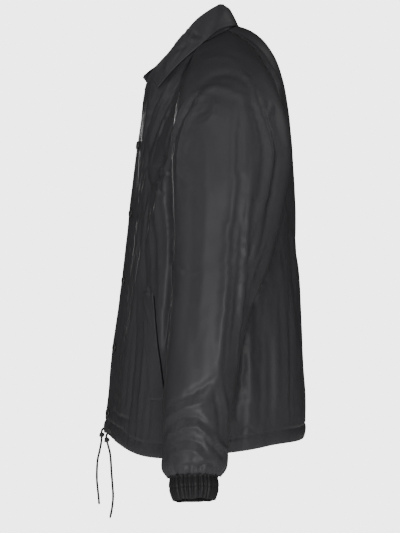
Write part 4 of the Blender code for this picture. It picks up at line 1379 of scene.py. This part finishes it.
class JACKET_OT_body(bpy.types.Operator):
    """Adds the two fronts and the back"""

    bl_idname = "jacket.body"
    bl_label = "Fronts and back"

    def execute(self, context):
        sizes = context.scene.jacket_sizes
        side = math.pi / 2.0
        left = body_cloth(-OVERLAP_TURN, side, FRONT_COLUMNS)
        left.crease(FRONT_CREASES, sizes.crease)
        left.crease_seen(FRONT_SEEN, sizes.crease)
        right = body_cloth(-side, OVERLAP_TURN, FRONT_COLUMNS)
        right.crease(unlike(FRONT_CREASES, 0.0, -1.0), sizes.crease)
        right.crease_seen(FRONT_SEEN, sizes.crease, -1.0, 1.6)
        back = body_cloth(side, 3.0 * side, BACK_COLUMNS)
        back.crease(BACK_CREASES, sizes.crease)
        back.crease(unlike(BACK_CREASES, 360.0, -1.0), sizes.crease)
        back.crease_seen(BACK_SEEN, sizes.crease)
        back.crease_seen(BACK_SEEN, sizes.crease, -1.0, 1.6)
        for cloth in (left, right):
            near = np.abs(np.sin(cloth.across))[None, :]
            cloth.shift *= 0.25 + 0.75 * np.clip(near / 0.16, 0.0, 1.0)
        for cloth, seed in ((left, 1.0), (right, 2.0), (back, 3.0)):
            shape_casing(cloth, seed)
        finish_body(left, [left.around[:, -1:] - left.around], 1.0)
        finish_body(right, [right.around], 2.0)
        finish_body(back, [back.around, back.around[:, -1:] - back.around], 3.0)
        self.placket(left)
        tuck = np.clip(1.0 - (-right.across - OVERLAP_TURN) / TUCK_TURN, 0.0, 1.0)
        right.shift -= 0.0026 * tuck[None, :]
        CLOTHS.update({"front_left": left, "front_right": right})
        for name, cloth in (("front_left", left), ("front_right", right), ("back", back)):
            top = cloth.along[-1:, :] - cloth.along
            wear = 0.35 * np.exp(-((top / 0.004) ** 2))
            if name == "front_left":
                wear = wear + 0.8 * np.exp(-((cloth.around / 0.003) ** 2))
            made = body_piece(f"cloth_{name}", cloth, wear, sizes, name)
            width, length = (0.60, 0.78) if name == "back" else (0.36, 0.74)
        self.stitching(left, right, back)
        return {"FINISHED"}

    def placket(self, cloth):
        """Rounds the front edge and presses the line where its facing is stitched down."""
        edge = cloth.around
        cloth.shift += 0.0006 * (1.0 - np.exp(-((edge / 0.0018) ** 2)))
        line = np.abs(edge - PLACKET_STITCH)
        above = np.clip((cloth.down[:, None] - 1.2) / 0.6, 0.0, 1.0)
        cloth.shift -= 0.0009 * np.exp(-((line / 0.0022) ** 2)) * above
        cloth.pucker(line + 0.002, cloth.along, 0.024, 0.0007, 0.016, 8.0)

    def front_line(self, cloth, side, distance, rows):
        """Places at a distance from the front edge, one in each of a front's rows."""
        places = []
        for n in rows:
            edge, across = cloth.around[n], cloth.across
            if side < 0.0:
                edge, across = (edge[-1] - edge)[::-1], across[::-1]
            places.append((float(np.interp(distance, edge, across)), cloth.down[n]))
        return places

    def stitching(self, left, right, back):
        """Keeps the lines that are sewn through the body."""
        for cloth in (left, right, back):
            count = 260 if cloth is back else 130
            line = evenly(cloth.across[0], cloth.across[-1], count)
            stitch(cloth, [(a, 1.0) for a in line])
            top = evenly(cloth.across[0], cloth.across[-1], 3 * count)
            stitch(cloth, [(a, BODY_TOP - RAGLAN_STITCH) for a in top if abs(math.sin(a)) < 0.97])
        rows = [n for n, d in enumerate(left.down) if 1.3 < d < BODY_TOP - 0.1]
        stitch(left, self.front_line(left, 1.0, PLACKET_STITCH, rows))
        stitch(right, self.front_line(right, -1.0, PLACKET_STITCH, rows))
        shown = range(HEM_ROWS + STEP_ROWS + 1, len(left.down))
        stitch(left, self.front_line(left, 1.0, EDGE_STITCH, shown))


class JACKET_OT_sleeves(bpy.types.Operator):
    """Adds the two sleeves"""

    bl_idname = "jacket.sleeves"
    bl_label = "Sleeves"

    def execute(self, context):
        sizes = context.scene.jacket_sizes
        rows = evenly(0.0, float(CAP_ROWS), CAP_FINE_ROWS)[:-1]
        rows += evenly(float(CAP_ROWS), float(SLEEVE_END), ARM_FINE_ROWS)
        around = evenly(0.0, 2.0 * math.pi, ARM_COLUMNS)[:-1]
        for name, side in (("left", 1.0), ("right", -1.0)):
            cloth = Cloth(sleeve_form, around, rows, turned_over=True, closed=True)
            row = cloth.down[:, None]
            fade = np.clip(row, 0.0, 1.0) * np.clip(SLEEVE_END - row, 0.0, 1.0)
            cloth.fold(SLEEVE_FOLDS, fade=fade)
            cloth.crease(SLEEVE_CREASES if side > 0 else unlike(SLEEVE_CREASES), sizes.crease)
            cloth.crease_seen(SLEEVE_SEEN, sizes.crease, 1.0, 0.0 if side > 0 else 1.8)
            self.finish_cloth(cloth, 4.0 + side)
            points = cloth.shaped()
            if side < 0:
                points = points * (-1.0, 1.0, 1.0)
            title, along = f"cloth_sleeve_{name}", cloth.along
            mesh = sheet_mesh(title, points, cloth.around, along, True, side > 0)
            end = along[-1:, :] - along
            wear = 0.35 * np.exp(-((along / 0.004) ** 2)) + 0.3 * np.exp(-((end / 0.006) ** 2))
            add_wear(mesh, wear)
            made = add_piece(title, mesh, finish_named("taffeta"), "nylon", f"sleeve_{name}")
            thicken(made, sizes.cloth)
            turns = evenly(0.0, 2.0 * math.pi, 330)[:-1]
            clear = [turn for turn in turns if 0.35 < turn < 5.93]
            for line, d in ((clear, 0.15), (turns, SLEEVE_END - 0.25)):
                points = [cloth.at(turn, d, STITCH_LIFT)[0] for turn in line]
                STITCH_LINES.append([p if side > 0 else mirrored(p) for p in points])
        return {"FINISHED"}

    def finish_cloth(self, cloth, seed):
        """Adds the seam's groove, the gathers above the cuff and a light unevenness."""
        calm = 1.0 - np.exp(-((cloth.along / SEAM_CALM) ** 2))
        end = cloth.along[-1:, :] - cloth.along
        cloth.shift *= calm * (1.0 - np.exp(-((end / 0.008) ** 2)))
        cloth.puff(cloth.along, *SEAM_RISE)
        turns = cloth.across
        cloth.pucker(cloth.along, turns[None, :] * 0.07, 0.013, 0.0007, 0.016, seed)
        size = 0.7 + 0.6 * round_noise(turns, 4.0, seed)
        for count, depth, reach in ((26, 0.0015, 0.014), (15, 0.0016, 0.030)):
            gathers = np.sin(count * turns + 2.6 * round_noise(turns, 2.0, seed + count)) * size
            cloth.shift += depth * gathers[None, :] * np.exp(-((end / reach) ** 2))
        cloth.rumple(0.060, 0.0018, seed, (1.0, 1.0, 0.45), calm)
        cloth.rumple(0.022, 0.0006, seed + 5.0, (1.0, 1.0, 0.6), calm)


class JACKET_OT_collar(bpy.types.Operator):
    """Adds the collar"""

    bl_idname = "jacket.collar"
    bl_label = "Collar"

    def execute(self, context):
        sizes = context.scene.jacket_sizes
        places, across = evenly(-1.0, 1.0, COLLAR_COLUMNS), evenly(0.0, 6.0, COLLAR_ROWS)
        cloth = Cloth(collar_form, places, across, turns=False)
        if cloth.out[-5, COLLAR_COLUMNS // 2, 1] < 0.0:
            cloth.out *= -1.0
        calm = 1.0 - np.exp(-((cloth.along / 0.012) ** 2))
        edge = cloth.along[-1:, :] - cloth.along
        cloth.crease(COLLAR_CREASES, sizes.crease)
        cloth.crease_seen(COLLAR_SEEN, sizes.crease)
        ends = np.minimum(cloth.around, cloth.around[:, -1:] - cloth.around)
        cloth.shift *= calm
        cloth.rumple(0.040, 0.0009, 6.0)
        cloth.shift *= calm
        for distance in (edge, ends):
            cloth.shift -= 0.0007 * np.exp(-((distance / 0.0012) ** 2))
            cloth.shift -= 0.0004 * np.exp(-(((distance - COLLAR_STITCH) / 0.0012) ** 2))
        mesh = sheet_mesh("cloth_collar", cloth.shaped(), cloth.around, cloth.along)
        roll = np.abs(cloth.down[:, None] - 3.1)
        wear = 0.9 * np.exp(-((edge / 0.003) ** 2)) + 0.8 * np.exp(-((ends / 0.003) ** 2))
        add_wear(mesh, wear + 0.5 * np.exp(-((roll / 0.5) ** 2)))
        made = add_piece("cloth_collar", mesh, finish_named("taffeta"), "nylon", "collar")
        thicken(made, COLLAR_WALL)
        sewn = [float(np.interp(-COLLAR_STITCH, -gap, cloth.down)) for gap in edge.T]
        stitch(cloth, list(zip(cloth.across, sewn))[4:-4])
        for n in (5, len(cloth.across) - 6):
            stitch(cloth, [(cloth.across[n], d) for d in cloth.down[32:-8]])
        return {"FINISHED"}


class JACKET_OT_cuffs(bpy.types.Operator):
    """Adds the gathered cuffs"""

    bl_idname = "jacket.cuffs"
    bl_label = "Cuffs"

    def execute(self, context):
        sizes = context.scene.jacket_sizes
        for name, side in (("left", 1.0), ("right", -1.0)):
            points, around, along = self.cloth(side, sizes.pleats)
            # The cuff's darker taffeta is painted shade of its gathers
            title, finish = f"cloth_cuff_{name}", finish_named("cuff taffeta")
            mesh = sheet_mesh(title, points, around, along, True, side > 0)
            add_wear(mesh, 0.8 * np.exp(-(((along - CUFF_LENGTH) / 0.004) ** 2)))
            made = add_piece(title, mesh, finish, "cuff_nylon", f"cuff_{name}")
            thicken(made, sizes.cloth)
        return {"FINISHED"}

    def section(self):
        """Each row from the seam over the lower edge: how far down it is, and how far inside."""
        rows = [(n / CUFF_OUTER_ROWS, 0.0) for n in range(CUFF_OUTER_ROWS + 1)]
        for n in range(1, CUFF_TURN_ROWS + 1):
            bend = math.pi * n / (CUFF_TURN_ROWS + 1)
            rows.append((1.0 + 0.045 * math.sin(bend), (1.0 - math.cos(bend)) / 2.0))
        return rows + [(1.0 - n * CUFF_INNER_STEP, 1.0) for n in range(1, CUFF_INNER_ROWS + 1)]

    def cloth(self, side, pleats):
        """The cuff's points from its seam over its lower edge and back up inside."""
        height, x, y, _, _, tilt = SLEEVE[-1]
        lean = math.radians(tilt)
        down = np.array((math.sin(lean), 0.0, -math.cos(lean)))
        outer = np.array((math.cos(lean), 0.0, math.sin(lean)))
        forward = np.array((0.0, -1.0, 0.0))
        columns = PLEAT_COLUMNS * pleats
        turn = 2.0 * math.pi * np.arange(columns) / columns
        across = -np.cos(turn)[:, None] * outer + np.sin(turn)[:, None] * forward
        wander = round_noise(turn, 2.2, side)
        deep = round_noise(turn, 5.0, side + 4.0)
        rows = []
        for share, inside in self.section():
            lean_over = 0.10 * math.sin(5.0 * share + side)
            phase = pleats * turn / 2.0 + 1.1 * wander + lean_over
            ridge = np.abs(np.cos(phase)) ** 0.75 * 2.0 - 1.15
            firm = 0.55 + 0.45 * math.sin(math.pi * min(max(share, 0.0), 1.0)) ** 0.7
            pleat = 0.0013 * ridge * (1.0 + 0.9 * deep) * firm
            swell = CUFF_SWELL * math.sin(math.pi * min(share, 1.0))
            seam = 0.0024 * math.exp(-((share / 0.05) ** 2)) if inside == 0.0 else 0.0
            channel = -0.0007 * math.exp(-(((share - 0.5) / 0.04) ** 2)) * (1.0 - inside)
            radius = CUFF_RADIUS + swell - CUFF_DRAW * share + pleat * (1.0 - 0.4 * inside)
            radius = radius - 0.0022 * inside + seam + channel
            along = CUFF_LENGTH * share - 0.0004 + 0.0018 * share * wander
            middle = np.array((x, y, height)) + along[:, None] * down
            rows.append(middle + radius[:, None] * across)
        points = np.array(rows)
        steps = np.linalg.norm(np.diff(points, axis=0), axis=2)
        along = np.concatenate([np.zeros((1, columns)), np.cumsum(steps, 0)])
        wide = np.linalg.norm(np.roll(points, -1, 1) - points, axis=2)
        around = np.concatenate([np.zeros((len(points), 1)), np.cumsum(wide, 1)[:, :-1]], 1)
        if side < 0:
            points = points * (-1.0, 1.0, 1.0)
        return points, around, along


class JACKET_OT_welts(bpy.types.Operator):
    """Adds the pocket welts and a near-black strip behind each, painted shade in its shut opening"""

    bl_idname = "jacket.welts"
    bl_label = "Pocket welts"

    def execute(self, context):
        rows = [(-0.012, 0.0002), (-0.004, 0.0016), (0.006, 0.0023)]
        rows += [(s, 0.0024) for s in evenly(0.02, 0.98, 66)]
        rows += [(0.994, 0.0023), (1.004, 0.0016), (1.012, 0.0002)]
        columns = [(-0.012, 0.0003), (-0.006, 0.0017), (0.004, 0.0026), (0.03, 0.0028)]
        columns += [(t, 0.0025) for t in evenly(0.08, 0.95, 18)]
        columns += [(0.975, 0.0021), (0.995, 0.0014), (1.006, 0.0002)]
        # The slit strip is a near-black sheet of painted shade, where the shut opening lies in shadow
        slit_shade_rows = [(s, 0.0004) for s in evenly(0.02, 0.985, 60)]
        slit = [(-0.095, 0.0003), (-0.06, 0.0006), (-0.03, 0.0006), (0.0, 0.0005)]
        for name, side in (("left", 1.0), ("right", -1.0)):
            cloth = CLOTHS[f"front_{name}"]
            title = f"cloth_welt_{name}"
            mesh = self.strip(cloth, side, title, rows, columns)
            made = add_piece(title, mesh, finish_named("taffeta"), "nylon", f"welt_{name}")
            mesh = self.strip(cloth, side, f"pocket_slit_{name}", slit_shade_rows, slit)
            add_piece(f"pocket_slit_{name}", mesh, finish_named("pocket slit"), "nylon")
            for t in WELT_STITCH_ACROSS:
                self.sew(cloth, side, [(s, t) for s in evenly(*WELT_STITCH_ALONG, 70)])
            for s in WELT_END_STITCH:
                self.sew(cloth, side, [(s, t) for t in evenly(*WELT_STITCH_ACROSS, 16)])
        return {"FINISHED"}

    def sew(self, cloth, side, line):
        """Keeps a line of places on the welt to be stitched."""
        points = [self.place(cloth, side, s, t, WELT_STITCH_LIFT)[0] for s, t in line]
        STITCH_LINES.append(points)

    def place(self, cloth, side, share, across, lift):
        """A place on the welt, from its top end down and from the opening forwards."""
        turn = POCKET_TOP[0] + (POCKET_END[0] - POCKET_TOP[0]) * share
        height = POCKET_TOP[1] + (POCKET_END[1] - POCKET_TOP[1]) * share
        turn = side * (turn - WELT_TURN * across)
        return cloth.at(turn, cloth.seat(turn, height), lift)

    def strip(self, cloth, side, name, rows, columns):
        """A strip over the front, lifted by its rows' and its columns' lower heights."""
        points = [
            [self.place(cloth, side, s, t, min(high, tall))[0] for t, tall in columns]
            for s, high in rows
        ]
        around = np.array([[t * WELT_WIDE for t, _ in columns] for _ in rows])
        along = np.array([[s * WELT_LONG for _ in columns] for s, _ in rows])
        mesh = sheet_mesh(name, np.array(points), around, along, flip=side < 0)
        edge = np.array([[min(high, tall) for _, tall in columns] for _, high in rows])
        add_wear(mesh, np.clip((0.0026 - edge) / 0.0026, 0.0, 1.0) * 0.5)
        return mesh


def lathe(name, profile, sides=32):
    """A turned shape about Z from a profile of radius, height and rubbing, from its middle out."""
    points, wear = [], []
    for radius, height, rubbed in profile:
        for k in range(sides):
            turn = 2.0 * math.pi * k / sides
            points.append((radius * math.cos(turn), radius * math.sin(turn), height))
            wear.append(rubbed)
    faces = []
    for row in range(len(profile) - 1):
        for k in range(sides):
            here, after = row * sides + k, row * sides + (k + 1) % sides
            faces.append((here + sides, after + sides, after, here))
    if profile[0][0] < 0.001:
        faces.append(tuple(range(sides)))
    mesh = bpy.data.meshes.new(name)
    mesh.from_pydata(points, [], faces)
    add_wear(mesh, np.array(wear))
    mesh.shade_smooth()
    return mesh


class Geometry:
    """A Geometry Nodes tree with named inputs, whose nodes are made by one method."""

    def __init__(self, name, **inputs):
        self.tree = bpy.data.node_groups.new(name, "GeometryNodeTree")
        face = self.tree.interface
        face.new_socket("Geometry", in_out="INPUT", socket_type="NodeSocketGeometry")
        face.new_socket("Geometry", in_out="OUTPUT", socket_type="NodeSocketGeometry")
        self.names = {}
        for key, kind in inputs.items():
            made = face.new_socket(key.replace("_", " "), in_out="INPUT", socket_type=kind)
            self.names[key] = made.identifier
        self.entry = self.tree.nodes.new("NodeGroupInput")
        self.exit = self.tree.nodes.new("NodeGroupOutput")

    def given(self, name):
        """One of the tree's inputs."""
        return self.entry.outputs[name]

    def node(self, kind, values, output=0, **settings):
        """A node of a type with its settings, then its sockets' values or links."""
        made = self.tree.nodes.new(kind)
        for key, value in settings.items():
            setattr(made, key, value)
        for key, value in values.items():
            if isinstance(value, bpy.types.NodeSocket):
                self.tree.links.new(value, made.inputs[key])
            else:
                made.inputs[key].default_value = value
        return made.outputs[output]

    def finish(self, geometry):
        """Ends the tree: real geometry with its material."""
        real = self.node("GeometryNodeRealizeInstances", {"Geometry": geometry})
        real = self.node("GeometryNodeSetMaterial", {"Geometry": real, "Material": self.given("Finish")})
        self.tree.links.new(real, self.exit.inputs[0])

    def made_from(self, name, mesh, **values):
        """The plain mesh that the tree makes of a mesh with these values."""
        guide = bpy.data.objects.new(f"{name}_guide", mesh)
        bpy.context.scene.collection.objects.link(guide)
        modifier = guide.modifiers.new("Nodes", "NODES")
        modifier.node_group = self.tree
        for key, value in values.items():
            modifier[self.names[key]] = value
        graph = bpy.context.evaluated_depsgraph_get()
        made = bpy.data.meshes.new_from_object(guide.evaluated_get(graph))
        guide.modifiers.remove(modifier)
        bpy.data.objects.remove(guide)
        made.name = name
        made.materials.clear()
        made.materials.append(values["Finish"])
        made.polygons.foreach_set("material_index", [0] * len(made.polygons))
        made.shade_smooth()
        return made


def stitch_tree():
    """Stitches laid end to end along lines."""
    tree = Geometry(
        "Stitching",
        Pitch="NodeSocketFloat",
        Length="NodeSocketFloat",
        Radius="NodeSocketFloat",
        Finish="NodeSocketMaterial",
    )
    curve = tree.node("GeometryNodeMeshToCurve", {"Mesh": tree.given("Geometry")})
    settings = {"Curve": curve, "Length": tree.given("Pitch")}
    points = tree.node("GeometryNodeCurveToPoints", settings, mode="LENGTH")
    tangent = points.node.outputs["Tangent"]
    turn = tree.node("FunctionNodeAlignRotationToVector", {"Vector": tangent}, axis="Z")
    ball = tree.node("GeometryNodeMeshUVSphere", {"Segments": 5, "Rings": 4, "Radius": 1.0})
    half = tree.node("ShaderNodeMath", {0: tree.given("Length"), 1: 0.5}, operation="MULTIPLY")
    radius = tree.given("Radius")
    size = tree.node("ShaderNodeCombineXYZ", {"X": radius, "Y": radius, "Z": half})
    one = tree.node("GeometryNodeTransform", {"Geometry": ball, "Scale": size})
    values = {"Points": points, "Instance": one, "Rotation": turn}
    tree.finish(tree.node("GeometryNodeInstanceOnPoints", values))
    return tree


def setting_tree():
    """One turned fitting set at each point, facing out of the cloth."""
    tree = Geometry("Fittings", Fitting="NodeSocketObject", Finish="NodeSocketMaterial")
    fitting = tree.node("GeometryNodeObjectInfo", {"Object": tree.given("Fitting")}, output=4)
    facing = tree.node("GeometryNodeInputNamedAttribute", {"Name": "facing"}, data_type="FLOAT_VECTOR")
    turn = tree.node("FunctionNodeAlignRotationToVector", {"Vector": facing}, axis="Z")
    values = {"Points": tree.given("Geometry"), "Instance": fitting, "Rotation": turn}
    tree.finish(tree.node("GeometryNodeInstanceOnPoints", values))
    return tree


def set_fittings(name, tree, profile, places, nodes):
    """Sets a turned fitting at each place as one piece."""
    fitting = bpy.data.objects.new(f"{name}_one", lathe(f"{name}_one", profile))
    bpy.context.scene.collection.objects.link(fitting)
    guide = bpy.data.meshes.new(f"{name}_places")
    guide.from_pydata([p for p, _ in places], [], [])
    facing = guide.attributes.new("facing", "FLOAT_VECTOR", "POINT")
    facing.data.foreach_set("vector", [c for _, out in places for c in out])
    lacquer = finish_named("snap lacquer")
    mesh = tree.made_from(name, guide, Fitting=fitting, Finish=lacquer)
    bpy.data.objects.remove(fitting)
    add_piece(name, mesh, None, "snap_lacquer", *nodes)


class JACKET_OT_fittings(bpy.types.Operator):
    """Adds the snap caps and the eyelets"""

    bl_idname = "jacket.fittings"
    bl_label = "Snaps and eyelets"

    def execute(self, context):
        tree = setting_tree()
        left = CLOTHS["front_left"]
        snaps = [left.at(SNAP_TURN, left.seat(SNAP_TURN, z), 0.0003) for z in SNAP_HEIGHTS]
        names = [f"snap_{n + 1}" for n in range(len(snaps))]
        set_fittings("snap_caps", tree, SNAP_PROFILE, snaps, names)
        eyelets = []
        for name, side in (("left", 1.0), ("right", -1.0)):
            cloth = CLOTHS[f"front_{name}"]
            turn = side * EYELET_TURN
            eyelets.append(cloth.at(turn, cloth.seat(turn, EYELET_Z), 0.0002))
        set_fittings("eyelets", tree, EYELET_PROFILE, eyelets, ["eyelet_left", "eyelet_right"])
        return {"FINISHED"}


class JACKET_OT_stitching(bpy.types.Operator):
    """Adds all the stitching that shows"""

    bl_idname = "jacket.stitching"
    bl_label = "Stitching"

    def execute(self, context):
        sizes = context.scene.jacket_sizes
        points, edges = [], []
        for line in STITCH_LINES:
            first = len(points)
            points += [tuple(p) for p in line]
            edges += [(n, n + 1) for n in range(first, len(points) - 1)]
        guide = bpy.data.meshes.new("stitch_lines")
        guide.from_pydata(points, edges, [])
        mesh = stitch_tree().made_from(
            "stitching",
            guide,
            Pitch=sizes.stitch_pitch,
            Length=sizes.stitch_length,
            Radius=sizes.thread,
            Finish=finish_named("thread"),
        )
        add_piece("stitching", mesh, None, "nylon")
        return {"FINISHED"}


STEPS = ("stage", "body", "sleeves", "collar", "cuffs", "welts", "fittings", "cords", "stitching")


class JACKET_PT_panel(bpy.types.Panel):
    """The jacket's sizes, colours and steps"""

    bl_idname = "JACKET_PT_panel"
    bl_label = "Coach jacket"
    bl_space_type = "VIEW_3D"
    bl_region_type = "UI"
    bl_category = "Jacket"

    def draw(self, context):
        for group in (context.scene.jacket_sizes, context.scene.jacket_colours):
            for name in group.__annotations__:
                self.layout.prop(group, name)
        for step in STEPS:
            self.layout.operator(f"jacket.{step}")


CLASSES = (
    JacketSizes,
    JacketColours,
    JACKET_OT_stage,
    JACKET_OT_body,
    JACKET_OT_sleeves,
    JACKET_OT_collar,
    JACKET_OT_cuffs,
    JACKET_OT_welts,
    JACKET_OT_fittings,
    JACKET_OT_cords,
    JACKET_OT_stitching,
    JACKET_PT_panel,
)


def register():
    """Makes the classes and the panel's values known."""
    for made in CLASSES:
        bpy.utils.register_class(made)
    bpy.types.Scene.jacket_sizes = bpy.props.PointerProperty(type=JacketSizes)
    bpy.types.Scene.jacket_colours = bpy.props.PointerProperty(type=JacketColours)


def unregister():
    """Takes the panel's values and the classes away again."""
    del bpy.types.Scene.jacket_colours
    del bpy.types.Scene.jacket_sizes
    for made in reversed(CLASSES):
        bpy.utils.unregister_class(made)


def main():
    """Builds the jacket and its stage."""
    register()
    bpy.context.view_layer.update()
    for step in STEPS:
        getattr(bpy.ops.jacket, step)()


if __name__ == "__main__":
    main()
